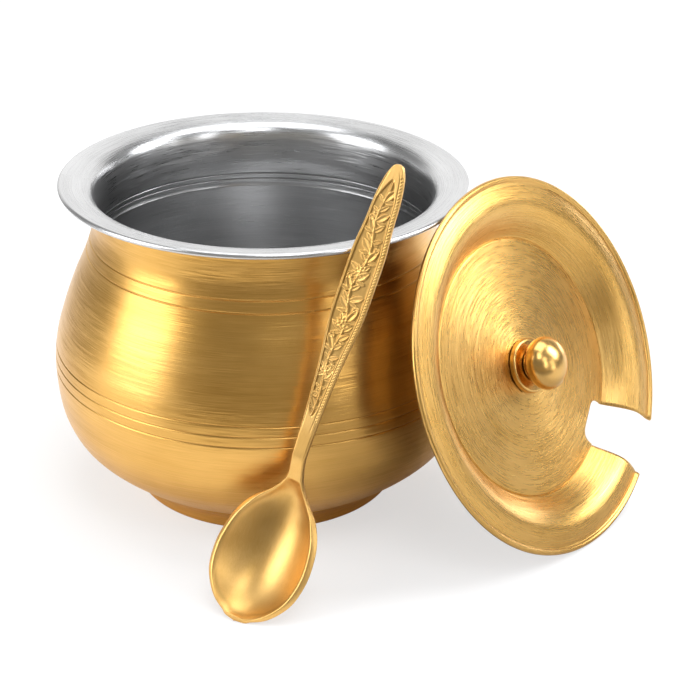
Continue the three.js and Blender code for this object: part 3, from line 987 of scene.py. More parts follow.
@dataclass
class Lid:
    """Brass lid with a rolled hem, a notch for the spoon, and a knob held by a screw.

    The lid's own frame has the axis of the knob as its third axis. That axis lies turn round from
    the front and leans lean up from level.
    """

    turn: float = math.radians(51.5)
    lean: float = math.radians(24.1)
    radius: float = 50.4
    sheet: float = 0.9
    bead_radius: float = 0.8
    groove_inset: float = 1.75
    groove_height: float = 0.2
    crest_radius: float = 44
    crest_height: float = 0.9
    panel_radius: float = 34.3
    panel_sink: float = 5.3
    panel_rise: float = 0.9
    close_reach: float = 0.45
    close_row: float = 0.03
    open_row: float = 0.22
    open_run: float = 3
    last_rows: Triple = (1.7, 0.9, 0.4)
    step_width: float = 0.7
    step_drop: float = 0.35
    slope_power: float = 1.1
    arch_power: float = 1.8
    bore: float = 1.9
    notch_inner: float = 29.6
    notch_inner_half: float = 5.7
    notch_outer_half: float = 8.5
    notch_corner: float = 2.6
    notch_overrun: float = 4
    notch_angle: float = math.radians(-47.8)
    edge_round: float = 0.22
    under_painted_shade: float = 0.8
    columns: int = 256
    collar_radius: float = 7.4
    collar_height: float = 1.5
    ball_radius: float = 7.1
    ball_half_height: float = 4.6
    neck_radius: float = 4.2
    neck_height: float = 0.7
    hole_radius: float = 1.9
    hole_depth: float = 5.5
    washer_radius: float = 4.4
    washer_sheet: float = 0.8
    screw_radius: float = 1.5
    screw_head_radius: float = 3
    screw_head_height: float = 1.6
    screw_head_round: float = 0.6
    screw_end_gap: float = 0.8
    slot_width: float = 0.8
    slot_depth: float = 0.7
    slot_edge: float = 0.06
    gap: float = 0.3
    small_segments: int = 96
    screw_segments: int = 144

    @property
    def panel_edge(self) -> float:
        """Height of the sunk panel's edge."""
        return -self.panel_sink

    @property
    def panel_middle(self) -> float:
        """Height of the panel at the knob."""
        return self.panel_rise - self.panel_sink

    @property
    def washer_top(self) -> float:
        """Height of the washer's upper side."""
        return self.panel_middle - self.sheet - self.gap

    @property
    def place(self) -> Placement:
        """The lid's own frame.

        A washer is the same seen from either side, so the middle of its packed box is its own
        middle. The frame's origin lies on the axis above it.

        Returns:
            The frame.
        """
        side = np.array([math.cos(self.turn), math.sin(self.turn), 0])
        level = np.array([math.sin(self.turn), -math.cos(self.turn), 0])
        axis = math.cos(self.lean) * level + math.sin(self.lean) * UP
        low, high = [np.array(corner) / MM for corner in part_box("knob_washer")]
        origin = (low + high) / 2 - (self.washer_top - self.washer_sheet / 2) * axis
        return Placement(plain(origin), plain(side), plain(np.cross(axis, side)), plain(axis))

    def notch_outline(self, grow: float) -> tuple[np.ndarray, np.ndarray]:
        """Half of the notch's plan as distance from the axis and angle off the notch's middle.

        The plan is a flat inner end, a round corner and a straight side that spreads outward.

        Args:
            grow: how far the plan is widened into the plate.

        Returns:
            Rising distances and the angle at each.
        """
        inner, half, corner = self.notch_inner, self.notch_inner_half, self.notch_corner
        flare = (self.notch_outer_half - half) / (self.radius - inner)
        end = np.array([inner + corner, half + flare * corner])
        start = np.array([inner, half - corner])
        bend = corner_curve(start, np.array([inner, half]), end, np.linspace(0, 1, 24)[:, None])
        flat = np.stack([np.full(12, inner), np.linspace(0, half - corner, 12)], axis=1)[:-1]
        reach = self.radius + self.notch_overrun
        far = np.array([reach, half + flare * (reach - inner)])
        side = np.linspace(0, 1, 40)[1:, None]
        grown = offset(np.concatenate([flat, bend, end + (far - end) * side]), grow)
        grown[0] = [inner - grow, 0]
        grown[:, 1] = np.maximum(grown[:, 1], 0)
        return np.hypot(grown[:, 0], grown[:, 1]), np.arctan2(grown[:, 1], grown[:, 0])

    def half_notch(self, radius: np.ndarray, grow: float) -> np.ndarray:
        """Angle from the notch's middle to its side at some distances from the axis."""
        distances, angles = self.notch_outline(grow)
        return np.interp(radius, distances, angles, left=0)

    def top_outline(self) -> np.ndarray:
        """Upper side of the plate from the bore to the groove before the hem.

        The panel is straight, with close points where the notch begins. Its edge is a groove that
        drops by sin^2(pi share), the slope rises as sin(share pi/2)^slope_power, and the arch falls
        to the hem's groove with share^arch_power.

        Returns:
            Points [radius, height], outward.
        """
        inner, reach, margin = self.notch_inner, self.close_reach, 0.05
        before = np.linspace(self.bore, inner - reach - margin, 9)
        close = np.arange(inner - reach, inner + reach - margin, self.close_row)
        after = np.arange(inner + reach + margin, inner + self.open_run, self.open_row)
        last = [self.panel_radius - back for back in self.last_rows]
        radii = np.concatenate([before, close, after, last])
        heights = np.interp(radii, [self.bore, self.panel_radius], [self.panel_middle, self.panel_edge])
        panel = [radii, heights]

        across = np.linspace(0, 1, 9)
        drop = np.sin(math.pi * across) ** 2 * self.step_drop
        step = [self.panel_radius + across * self.step_width, self.panel_edge - drop]

        share = np.linspace(0, 1, 27)[1:]
        foot = self.panel_radius + self.step_width
        rise = np.sin(share * math.pi / 2) ** self.slope_power
        height = self.panel_edge + (self.crest_height - self.panel_edge) * rise
        slope = [foot + (self.crest_radius - foot) * share, height]

        share = np.linspace(0, 1, 17)[1:]
        groove = self.radius - self.groove_inset
        height = self.crest_height + (self.groove_height - self.crest_height) * share**self.arch_power
        arch = [self.crest_radius + (groove - self.crest_radius) * share, height]
        return np.concatenate([np.stack(part, axis=1) for part in (panel, step, slope, arch)])

    def bead(self) -> np.ndarray:
        """Upper half of the hem's bead, from its groove to its outermost point.

        Returns:
            Points [radius, height], outward.
        """
        angle = np.radians(np.linspace(152, 0, 15))
        centre = self.radius - self.bead_radius
        return np.stack([centre + self.bead_radius * np.cos(angle), self.bead_radius * np.sin(angle)], axis=1)

    def sheet_points(self, outline: np.ndarray) -> np.ndarray:
        """One face of the plate.

        Each row is a circle that starts and ends at the notch's side: its angle runs from
        middle + half(r) to middle + full turn - half(r).

        Args:
            outline: points [radius, height] of the face.

        Returns:
            A grid of places.
        """
        half = self.half_notch(outline[:, 0], self.edge_round)[:, None]
        share = np.linspace(0, 1, self.columns + 1)
        return ring_points(outline, self.notch_angle + half + (FULL_TURN - 2 * half) * share)

    def notch_wall(self, upper: np.ndarray, lower: np.ndarray, sign: int) -> np.ndarray:
        """The cut wall on one side of the notch.

        It runs across the sheet, and is rounded by widening the plan at both faces.

        Args:
            upper: points [radius, height] of the upper face.
            lower: the lower face, point for point.
            sign: 1 or -1 for the two sides.

        Returns:
            A grid of places, with a row for each point and a column for each step across.
        """
        across = np.linspace(0, 1, 7)
        grows = self.edge_round * (1 - np.sin(math.pi * across))
        wall = []
        for part, grow in zip(across, grows):
            blend = upper * (1 - part) + lower * part
            angle = self.notch_angle + sign * self.half_notch(blend[:, 0], grow)
            wall.append(ring_points(blend, angle[:, None])[:, 0])
        first = int(np.argmax(upper[:, 0] > self.notch_inner - self.edge_round - 0.05))
        return np.stack(wall, axis=1)[first:]

    def build_plate(self) -> bpy.types.Object:
        """Plate: two faces, the bore's wall and the two walls of the notch.

        Returns:
            The plate, whose underside has painted shade and is rougher.
        """
        top = self.top_outline()
        under = offset(top, -self.sheet)
        under[0, 0] = self.bore
        bead = self.bead()
        upper = np.concatenate([top, bead])
        lower = np.concatenate([under, bead * [1, -1]])
        face, back = self.sheet_points(upper), self.sheet_points(lower)
        rows, columns = face.shape[:2]
        faces = grid_faces(rows, columns, False, False)
        parts = [(face, faces), (back, faces[:, ::-1])]
        bore = np.stack([face[0], back[0]])
        parts.append((bore, grid_faces(2, columns, False, False)[:, ::-1]))
        for sign in (1, -1):
            wall = self.notch_wall(upper, lower, sign)
            parts.append((wall, grid_faces(*wall.shape[:2], False, False)[:, ::sign]))
        # Painted shade on the underside of the plate.
        painted_shades = [self.under_painted_shade if points is back else 0 for points, _ in parts]
        shade = [np.full(points[..., 0].size, tone) for (points, _), tone in zip(parts, painted_shades)]
        return mesh_piece("lid_cover", parts, self.place, np.concatenate(shade))

    def build_collar(self) -> bpy.types.Object:
        """Collar between the panel and the knob, whose underside follows the panel.

        Returns:
            The collar.
        """
        base = self.panel_middle + self.gap
        slope = self.panel_rise / (self.panel_radius - self.bore)
        top = base + self.collar_height
        corners = [
            (self.hole_radius, base),
            (self.collar_radius, base - slope * (self.collar_radius - self.hole_radius)),
            (self.collar_radius, top),
            (self.hole_radius, top),
        ]
        outline = soften(corners, [0.1, 0.12, 0.75, 0.1], 6)
        return turned_piece("lid_collar", outline, self.small_segments, self.place, True)

    def build_knob(self) -> bpy.types.Object:
        """Knob: a flattened ball, radius R sin a and height -H cos a about its middle, with a bore.

        Returns:
            The knob.
        """
        base = self.panel_middle + self.gap + self.collar_height + self.gap
        start = math.asin(self.neck_radius / self.ball_radius)
        middle = base + self.neck_height + self.ball_half_height * math.cos(start)
        angle = np.linspace(start, math.pi, 48)
        height = middle - self.ball_half_height * np.cos(angle)
        ball = np.stack([self.ball_radius * np.sin(angle), height], axis=1)
        ball[-1, 0] = 0
        corners = [
            (0, base + self.hole_depth),
            (self.hole_radius, base + self.hole_depth),
            (self.hole_radius, base),
            (self.neck_radius, base),
        ]
        outline = np.concatenate([soften(corners, [0, 0.1, 0.1, 0.15], 4), ball])
        return turned_piece("lid_knob", outline, self.small_segments, self.place, False)

    def build_washer(self) -> bpy.types.Object:
        """Washer under the panel.

        Returns:
            The washer.
        """
        top = self.washer_top
        corners = [
            (self.bore, top - self.washer_sheet),
            (self.washer_radius, top - self.washer_sheet),
            (self.washer_radius, top),
            (self.bore, top),
        ]
        outline = soften(corners, [0.1, 0.22, 0.1, 0.1], 5)
        return turned_piece("lid_washer", outline, self.small_segments, self.place, True)

    def build_screw(self) -> bpy.types.Object:
        """Screw: a slotted head below the washer and a plain shank up into the knob.

        The head's underside is a grid of circles whose height rises by the slot's depth where the
        distance from the slot's middle line is under half its width.

        Returns:
            The screw.
        """
        head_top = self.washer_top - self.washer_sheet - self.gap
        head_bottom = head_top - self.screw_head_height
        knob_base = self.panel_middle + 2 * self.gap + self.collar_height
        end = knob_base + self.hole_depth - self.screw_end_gap
        corners = [
            (0, head_bottom),
            (self.screw_head_radius, head_bottom),
            (self.screw_head_radius, head_top),
            (self.screw_radius, head_top),
            (self.screw_radius, end),
            (0, end),
        ]
        head = soften(corners, [0, self.screw_head_round, 0.15, 0.1, 0.3, 0], 5)
        radii = np.linspace(0, self.screw_head_radius - self.screw_head_round, 26)[:-1]
        flat = np.stack([radii, np.full(len(radii), head_bottom)], axis=1)
        outline = np.concatenate([flat, head[1:]])
        points = ring_points(outline, np.arange(self.screw_segments) / self.screw_segments * FULL_TURN)
        away = np.abs(points[..., 1]) - self.slot_width / 2
        inside = 1 - smoothstep(-self.slot_edge, self.slot_edge, away)
        z = points[..., 2]
        slot_top = head_bottom + self.slot_depth
        points[..., 2] = np.where(z < slot_top, z + (slot_top - z) * inside, z)
        faces = grid_faces(len(outline), self.screw_segments, False, True)
        return mesh_piece("lid_screw", [(points, faces)], self.place)

    def build(
        self,
        brass: bpy.types.Material,
        polished: bpy.types.Material,
        steel: bpy.types.Material,
    ) -> None:
        """Builds, dresses and mounts the five pieces of the lid.

        Args:
            brass: the finish of the plate and the washer.
            polished: the finish of the collar and the knob.
            steel: the finish of the screw.
        """
        made = [
            (self.build_plate(), brass, "lid_plate", "lid_brass"),
            (self.build_collar(), polished, "knob_collar", "knob_brass"),
            (self.build_knob(), polished, "knob", "knob_brass"),
            (self.build_washer(), brass, "knob_washer", "knob_brass"),
            (self.build_screw(), steel, "knob_screw", "screw_steel"),
        ]
        mount(Body.LID, made)


# Ornament of the spoon's handle


@dataclass(frozen=True)
class Leaf:
    """One pointed leaf with a raised edge and a sunk vein."""

    at: Pair
    heading: float
    length: float
    width: float
    point_power: float = 0.8
    dome: float = 0.55
    ridge: float = 0.45
    ridge_at: float = 0.75
    ridge_reach: float = 0.25
    vein: float = 0.35
    vein_reach: float = 0.13
    edge: Pair = (0.82, 1.12)

    def relief(self, x: np.ndarray, y: np.ndarray) -> np.ndarray:
        """Height of the leaf.

        Along a leaf of length L the half width is W/2 sin(pi a/L)^point_power. Across it the height
        is a dome with a ridge near the edge, less a narrow valley on the middle line.

        Args:
            x: place across the panel.
            y: place along it.

        Returns:
            The height, from 0 outside the leaf to about 1.
        """
        run_x, run_y = x - self.at[0], y - self.at[1]
        along = run_x * math.sin(self.heading) + run_y * math.cos(self.heading)
        across = run_x * math.cos(self.heading) - run_y * math.sin(self.heading)
        share = np.clip(along / self.length, 0, 1)
        half = self.width / 2 * np.maximum(np.sin(math.pi * share), 0) ** self.point_power + 1e-6
        ratio = np.abs(across) / half
        dome = self.dome + self.ridge * bell(ratio, self.ridge_at, self.ridge_reach)
        vein = self.vein * bell(across, 0, self.vein_reach)
        inside = (along > 0) & (along < self.length)
        return np.where(inside, (dome - vein) * (1 - smoothstep(*self.edge, ratio)), 0)


@dataclass(frozen=True)
class Curl:
    """A ring round a bead."""

    at: Pair
    ring: float = 0.62
    ring_reach: float = 0.2
    bead: float = 0.8
    bead_reach: float = 0.24

    def relief(self, x: np.ndarray, y: np.ndarray) -> np.ndarray:
        """Height of the curl: bell curves of the distance about the ring and about the middle."""
        away = np.hypot(x - self.at[0], y - self.at[1])
        return bell(away, self.ring, self.ring_reach) + self.bead * bell(away, 0, self.bead_reach)


@dataclass(frozen=True)
class Boss:
    """The round middle of a rosette."""

    at: Pair
    radius: float = 0.5

    def relief(self, x: np.ndarray, y: np.ndarray) -> np.ndarray:
        """Height of the boss: half a ball of height 1."""
        away = np.hypot(x - self.at[0], y - self.at[1])
        return np.sqrt(np.maximum(1 - (away / self.radius) ** 2, 0))


@dataclass(frozen=True)
class Vine:
    """Wavy stem with leaves, curls and rosettes that fills the handle's panel."""

    start: float
    end: float
    wave: float = 19
    sway: float = 0.24
    stem_height: float = 0.95
    stem_reach: float = 0.26
    first_spray: float = 2.2
    last_spray: float = 3.5
    spray_spacing: float = 2.55
    spray_rise: float = 1.5
    leans: Triple = (30, 46, 62)
    leaf_reach: float = 0.92
    leaf_width: float = 0.44
    longest_leaf: float = 4.4
    slim_strength: float = 0.75
    slim_turn: float = 0.85
    slim_length: float = 0.7
    slim_width: float = 0.27
    back_strength: float = 0.85
    back_turn: float = 0.8
    back_reach: float = 1.15
    back_width: float = 0.42
    longest_back_leaf: float = 3
    curl_strength: float = 0.9
    curl_out: float = 0.58
    curl_up: float = 0.9
    least_curl_room: float = 1.2
    rosettes: Triple = (66.4, 79.4, 92.3)
    petals: int = 7
    petal_turn: float = 0.4
    petal_lengths: Pair = (2.3, 1.9)
    petal_width: float = 1.15
    boss_height: float = 1.15

    def stem(self, y: np.ndarray | float, room: np.ndarray | float) -> np.ndarray | float:
        """Middle line of the stem: sway room sin(2 pi (y - start) / wave)."""
        return self.sway * room * np.sin((y - self.start) * FULL_TURN / self.wave)

    def spray(self, index: int, height: float, wide: float) -> list[tuple[float, Leaf | Curl]]:
        """What grows from one spot of the stem.

        A long leaf and a slim one point up and out, to the left and right by turns. Across from
        them is a curl at every third spot where there is room, and otherwise a small leaf. Widths
        are shares of a leaf's length, and the slim leaf's length is a share of the long one's.

        Args:
            index: which spot it is.
            height: where the spot is along the panel.
            wide: the panel's half width there.

        Returns:
            Pairs of a strength and a shape.
        """
        side = 1 if index % 2 else -1
        stem = float(self.stem(height, wide))
        start = (stem, height)
        lean = math.radians(self.leans[index % 3])
        size = min((wide - side * stem) / math.sin(lean) * self.leaf_reach, self.longest_leaf)
        slim = Leaf(start, side * (lean + self.slim_turn), size * self.slim_length, size * self.slim_width)
        shapes = [(1, Leaf(start, side * lean, size, size * self.leaf_width)), (self.slim_strength, slim)]
        back = wide + side * stem
        if index % 3 == 1 and back > self.least_curl_room:
            spot = (stem - side * back * self.curl_out, height + self.curl_up)
            shapes.append((self.curl_strength, Curl(spot)))
        else:
            size = min(back * self.back_reach, self.longest_back_leaf)
            leaf = Leaf(start, -side * self.back_turn, size, size * self.back_width)
            shapes.append((self.back_strength, leaf))
        return shapes

    def rosette(self, height: float) -> list[tuple[float, Leaf | Boss]]:
        """Petals of two lengths by turns round a boss.

        Args:
            height: where the rosette is along the panel.

        Returns:
            Pairs of a strength and a shape.
        """
        middle = (0, height)
        shapes = [(self.boss_height, Boss(middle))]
        for petal in range(self.petals):
            heading = petal / self.petals * FULL_TURN + self.petal_turn
            shapes.append((1, Leaf(middle, heading, self.petal_lengths[petal % 2], self.petal_width)))
        return shapes

    def relief(self, x: np.ndarray, y: np.ndarray, room: Room) -> np.ndarray:
        """Height of the whole vine, the highest of its shapes at each place.

        Args:
            x: place across, from the panel's middle line.
            y: place along.
            room: gives the panel's half width at a place along.

        Returns:
            The height, from 0 on the ground to about 1.
        """
        shapes = []
        spots = np.arange(self.start + self.first_spray, self.end - self.last_spray, self.spray_spacing)
        for index, height in enumerate(spots):
            shapes += self.spray(index, height, float(room(np.array(height + self.spray_rise))))
        for height in self.rosettes:
            shapes += self.rosette(height)
        relief = self.stem_height * bell(x, self.stem(y, room(y)), self.stem_reach)
        for strength, shape in shapes:
            relief = np.maximum(relief, strength * shape.relief(x, y))
        return relief


@dataclass(frozen=True)
class EdgeLine:
    """A line along the handle's edge: its depth, its distance from the edge and its reach."""

    depth: float
    inset: float
    reach: float

    def share(self, inset: np.ndarray) -> np.ndarray:
        """Share of the line's depth at a distance from the edge, by a bell curve."""
        return bell(inset, self.inset, self.reach)


# Spoon


@dataclass
class Spoon:
    """Brass spoon with a deep bowl and an embossed vine on its handle.

    The spoon's own frame starts below the bowl's tip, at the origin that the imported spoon's
    contacts with the ground and the rim give. Its second axis runs along the spoon, heading round
    from the model's first axis and lean up from level. The face is rolled by roll about it, and
    looks along the third axis.
    """

    origin: Triple = (-1.3566, -73.4234, -2.8724)
    heading: float = math.radians(38.3)
    lean: float = math.radians(66.6)
    roll: float = math.radians(-25)
    length: float = 120.2
    tip_round: float = 0.4
    tip_half_width: float = 1.15
    least_half_width: float = 0.02
    bowl_length: float = 37.25
    bowl_half_width: float = 13.9
    bowl_depth: float = 6.5
    bowl_sheet: float = 1.2
    bowl_fade: float = 0.72
    hollow_skew: float = 0.8
    hollow_power: float = 0.75
    dish_start: float = 1.1
    neck_half_width: float = 1.9
    neck_thickness: float = 2.3
    neck_step: float = 4
    neck_step_before: float = 5
    neck_step_after: float = 8
    neck_from: float = 0.7
    neck_to: float = 1.6
    handle_half_width: float = 4.63
    handle_thickness: float = 1.4
    handle_bow: float = 0.43
    tip_rise: float = 9.6
    tip_power: float = 1.15
    rim_width: float = 1.5
    rim_drop: float = 0.95
    handle_round: float = 0.4
    handle_drop: float = 0.42
    back_round: float = 0.5
    back_lift: float = 0.35
    crevice_painted_shade: float = 0.35
    crevice_inset: float = 0.25
    crevice_reach: float = 0.3
    painted_dark_reflection: float = 0.7
    dark_reflection_inset: float = 2
    dark_reflection_at: Pair = (-4.5, 26)
    dark_reflection_reach: Pair = (6, 9)
    panel_start: float = 54.5
    panel_end: float = 116.3
    panel_depth: float = 0.45
    panel_wall: float = 0.24
    panel_bottom_run: float = 2.6
    panel_top_run: float = 5.5
    fade_in: float = 5
    fade_out: float = 2.5
    relief_drop: float = 0.04
    relief_limit: float = 1.15
    ground_painted_shade: float = 0.55
    ground_contrast: float = 1.5
    line_painted_shade: float = 0.6
    cord_painted_shade: float = 0.6
    bowl_row: float = 0.36
    panel_row: float = 0.14
    tip_row: float = 0.25
    left_border: float = 0.72
    right_border: float = 1.35
    left_line: EdgeLine = EdgeLine(0.12, 0.52, 0.1)
    cord: EdgeLine = EdgeLine(0.17, 0.5, 0.32)
    cord_pitch: float = 0.82
    cord_slant: float = 0.9
    right_line: EdgeLine = EdgeLine(0.13, 1.02, 0.1)
    bowl_shares: tuple[Pair, ...] = (
        (0.03, 0.293),
        (0.08, 0.536),
        (0.16, 0.744),
        (0.26, 0.894),
        (0.4, 0.962),
        (0.53, 0.94),
        (0.66, 0.853),
        (0.78, 0.67),
        (0.88, 0.385),
        (0.95, 0.228),
    )
    handle_shares: tuple[Pair, ...] = (
        (0.12, 0.41),
        (0.25, 0.52),
        (0.38, 0.69),
        (0.52, 0.968),
        (0.63, 1),
        (0.73, 0.978),
        (0.82, 0.834),
        (0.89, 0.762),
        (0.95, 0.6),
        (0.98, 0.42),
    )

    @property
    def place(self) -> Placement:
        """The spoon's own frame.

        Returns:
            The frame.
        """
        level = np.array([math.cos(self.heading), math.sin(self.heading), 0])
        along = math.cos(self.lean) * level + math.sin(self.lean) * UP
        flat = np.cross(along, UP)
        flat /= np.linalg.norm(flat)
        side = math.cos(self.roll) * flat + math.sin(self.roll) * np.cross(flat, along)
        return Placement(self.origin, plain(side), plain(along), plain(np.cross(side, along)))

    def half_width(self, y: np.ndarray) -> np.ndarray:
        """Half width of the spoon, smooth through the guide points.

        The shares are of the bowl's length and half width, and then of the handle's.

        Args:
            y: distances from the bowl's tip.

        Returns:
            The half width at each.
        """
        bowl, run = self.bowl_length, self.length - self.bowl_length
        knots = [(0, 0), (0.01 * bowl, 0.2 * self.bowl_half_width)]
        knots += [(bowl * at, self.bowl_half_width * share) for at, share in self.bowl_shares]
        knots.append((bowl + self.neck_half_width, self.neck_half_width))
        knots += [(bowl + run * at, self.handle_half_width * share) for at, share in self.handle_shares]
        knots += [(self.length - self.tip_round, self.tip_half_width), (self.length, 0)]
        curve = spline(knots, 3000)
        width = np.interp(y, np.maximum.accumulate(curve[:, 0]), curve[:, 1])
        return np.maximum(width, self.least_half_width)

    def spine(self, y: np.ndarray) -> np.ndarray:
        """Height of the middle of the face.

        The bowl is tipped up as rise (1 - y / run)^tip_power, the handle starts an eased step above
        it, and along the handle it is bowed by bow 4 t (1 - t).

        Args:
            y: distances from the bowl's tip.

        Returns:
            The height at each.
        """
        bowl = self.bowl_length
        share = np.maximum(1 - y / (bowl + self.neck_half_width), 0)
        step = smoothstep(bowl - self.neck_step_before, bowl + self.neck_step_after, y)
        along = np.clip((y - bowl) / (self.length - bowl), 0, 1)
        bow = self.handle_bow * 4 * along * (1 - along)
        return self.tip_rise * share**self.tip_power + self.neck_step * step + bow

    def hollow(self, y: np.ndarray) -> np.ndarray:
        """Depth of the bowl: depth sin(pi share^skew)^power."""
        share = np.minimum(y / self.bowl_length, 1) ** self.hollow_skew
        return self.bowl_depth * np.maximum(np.sin(math.pi * share), 0) ** self.hollow_power

    def thickness(self, y: np.ndarray) -> np.ndarray:
        """Thickness: the bowl's sheet, thicker at the neck and thinner along the handle.

        Args:
            y: distances from the bowl's tip.

        Returns:
            The thickness at each.
        """
        to_neck = smoothstep(self.bowl_length * self.neck_from, self.bowl_length, y)
        to_handle = smoothstep(self.bowl_length, self.bowl_length * self.neck_to, y)
        at_neck = self.bowl_sheet + (self.neck_thickness - self.bowl_sheet) * to_neck
        return at_neck + (self.handle_thickness - self.neck_thickness) * to_handle

    def distance_in(self, x: np.ndarray, y: np.ndarray) -> np.ndarray:
        """Distance from points of the bowl to the spoon's outline, in plan.

        Args:
            x: place across.
            y: place along.

        Returns:
            The distance to the nearest of 200 points of the outline, closest spaced at the tip.
        """
        edge_y = np.concatenate([4 * np.linspace(0, 1, 60) ** 2, np.linspace(4.1, self.bowl_length + 6, 140)])
        edge_x = self.half_width(edge_y)
        edge_x[0] = 0
        away = np.hypot(np.abs(x)[..., None] - edge_x, y[..., None] - edge_y)
        return away.min(axis=-1)

    def panel_room(self, y: np.ndarray) -> np.ndarray:
        """Half width of the handle's panel between its borders."""
        return self.half_width(y) - (self.left_border + self.right_border) / 2

    def carving(self, x: np.ndarray, y: np.ndarray, half: np.ndarray) -> tuple[np.ndarray, np.ndarray]:
        """What is cut out of the handle's face.

        A thin line runs along the left edge, and a slanted cord and a thin line along the right
        one. Between them the sunk panel, with round ends, holds the vine.

        Args:
            x: place across.
            y: place along.
            half: half width at y.

        Returns:
            The depth, and the painted shade of the panel's ground and its lines, from 0 to 1.
        """
        inset = half - np.abs(x)
        bottom = np.sqrt(np.clip((y - self.panel_start) / self.panel_bottom_run, 0, 1))
        top = np.sqrt(np.clip((self.panel_end - y) / self.panel_top_run, 0, 1))
        ends = bottom * top
        left_room = x + (half - self.left_border) * ends
        right_room = (half - self.right_border) * ends - x
        in_panel = smoothstep(0, self.panel_wall, np.minimum(left_room, right_room)) * (ends > 0)

        begin = smoothstep(self.panel_start - self.fade_in, self.panel_start, y)
        fade = begin * (1 - smoothstep(self.panel_end, self.panel_end + self.fade_out, y))
        strands = 0.5 + 0.5 * np.sin((y + self.cord_slant * inset) * FULL_TURN / self.cord_pitch)
        left = self.left_line.share(inset) * fade * (x < 0)
        cord = strands * self.cord.share(inset) * fade * (x > 0)
        right = self.right_line.share(inset) * fade * (x > 0)
        edges = self.left_line.depth * left + self.cord.depth * cord + self.right_line.depth * right

        vine = Vine(self.panel_start, self.panel_end)
        from_middle = x - (self.left_border - self.right_border) / 2
        ornament = np.minimum(vine.relief(from_middle, y, self.panel_room), self.relief_limit)
        relief = ornament * (self.panel_depth - self.relief_drop)
        # Painted shade on the panel's ground between the ornament, and in the lines along the edges.
        ground = in_panel * np.clip(1 - self.ground_contrast * ornament, 0, 1) * self.ground_painted_shade
        lines = np.clip(left + right + cord * self.cord_painted_shade, 0, 1) * self.line_painted_shade
        return edges + in_panel * (self.panel_depth - relief), ground + lines * (1 - in_panel)

    def face(self, x: np.ndarray, y: np.ndarray, half: np.ndarray) -> tuple[np.ndarray, np.ndarray]:
        """Height of the face and its tarnish.

        Outside the crest a band falls to the edge as drop (1 - sin(pi/2 inset / width)), and inside
        it the bowl is hollow (1 - a^2), where a is the share of the half width within the crest. The
        handle's carving comes off. Painted shade lies in the crevice inside the crest and in the
        carving, and a soft painted dark reflection lies in the upper left of the bowl.

        Args:
            x: place across.
            y: place along.
            half: half width at y.

        Returns:
            The height, and the painted shade and painted dark reflection, from 0 to 1.
        """
        bowl = self.bowl_length
        on_bowl = 1 - smoothstep(bowl * self.bowl_fade, bowl, y)
        near = half - np.abs(x)
        rows = y[:, 0] < bowl + 1
        near[rows] = np.minimum(near[rows], self.distance_in(x[rows], y[rows]))
        width = self.rim_width * on_bowl + self.handle_round * (1 - on_bowl)
        width = np.minimum(width, half * 0.8)
        drop = self.rim_drop * on_bowl + self.handle_drop * (1 - on_bowl)
        edge = drop * (1 - np.sin(np.clip(near / width, 0, 1) * math.pi / 2))
        inner = np.maximum(half - width * on_bowl, 0.05)
        across = np.clip(np.abs(x) / inner, 0, 1)
        pushed = np.maximum(y - self.dish_start, 0) * bowl / (bowl - self.dish_start)
        dish = self.hollow(pushed) * (1 - across**2)

        within = near - width
        # Painted shade in the crevice inside the bowl's crest.
        crevice = self.crevice_painted_shade * bell(within, self.crevice_inset, self.crevice_reach) * on_bowl
        # A soft patch of painted dark reflection in the upper left of the bowl.
        (left, up), (reach_x, reach_y) = self.dark_reflection_at, self.dark_reflection_reach
        patch = bell(x, left, reach_x) * bell(y, up, reach_y)
        dark_reflection = self.painted_dark_reflection * patch * smoothstep(0, self.dark_reflection_inset, within) * on_bowl
        carved, tone = self.carving(x, y, half)
        return self.spine(y) - dish - edge - carved, np.clip(tone + crevice + dark_reflection, 0, 1)

    def rows(self) -> np.ndarray:
        """Places along the spoon: close at both ends and closest along the panel.

        Returns:
            Rising distances from the bowl's tip.
        """
        ease = np.linspace(0, 1, 14) ** 2
        bowl = np.arange(1.8, self.panel_start - 1, self.bowl_row)
        panel = np.arange(self.panel_start - 0.8, self.panel_end + 1, self.panel_row)
        tip = np.arange(self.panel_end + 1.3, self.length - 1.2, self.tip_row)
        return np.concatenate([1.5 * ease, bowl, panel, tip, self.length - 1.1 * ease[::-1]])

    def back_points(self, rows: np.ndarray, half: np.ndarray) -> np.ndarray:
        """Underside of the spoon, from right to left.

        It follows the spine and the hollow a thickness lower, and rises to the edge in a round of
        height lift thickness (1 - sqrt(1 - (1 - inset / round)^2)).

        Args:
            rows: places along the spoon.
            half: half width at each, as a column.

        Returns:
            A grid of places.
        """
        even = np.linspace(1, -1, 33)[1:-1]
        across = np.sign(even) * (1 - (1 - np.abs(even)) ** 1.5)
        x = half * across
        y = np.repeat(rows[:, None], len(across), axis=1)
        depth = self.thickness(y)
        share = np.clip((half - np.abs(x)) / np.minimum(self.back_round, half * 0.9), 0, 1)
        lift = depth * self.back_lift * (1 - np.sqrt(np.maximum(1 - (1 - share) ** 2, 0)))
        z = self.spine(y) - self.hollow(y) * (1 - across**2) - depth + lift
        return np.stack([x, y, z], axis=2)

    def build_body(self) -> bpy.types.Object:
        """The whole spoon: rows of points round it, closed at both ends by a fan of triangles.

        Returns:
            The spoon.
        """
        rows = self.rows()
        half = self.half_width(rows)[:, None]
        even = np.linspace(-1, 1, 57)
        x = half * np.sign(even) * (1 - (1 - np.abs(even)) ** 1.35)
        y = np.repeat(rows[:, None], len(even), axis=1)
        z, tone = self.face(x, y, half)
        back = self.back_points(rows, half)
        points = np.concatenate([np.stack([x, y, z], axis=2), back], axis=1)
        shade = np.concatenate([tone, np.zeros(back.shape[:2])], axis=1)

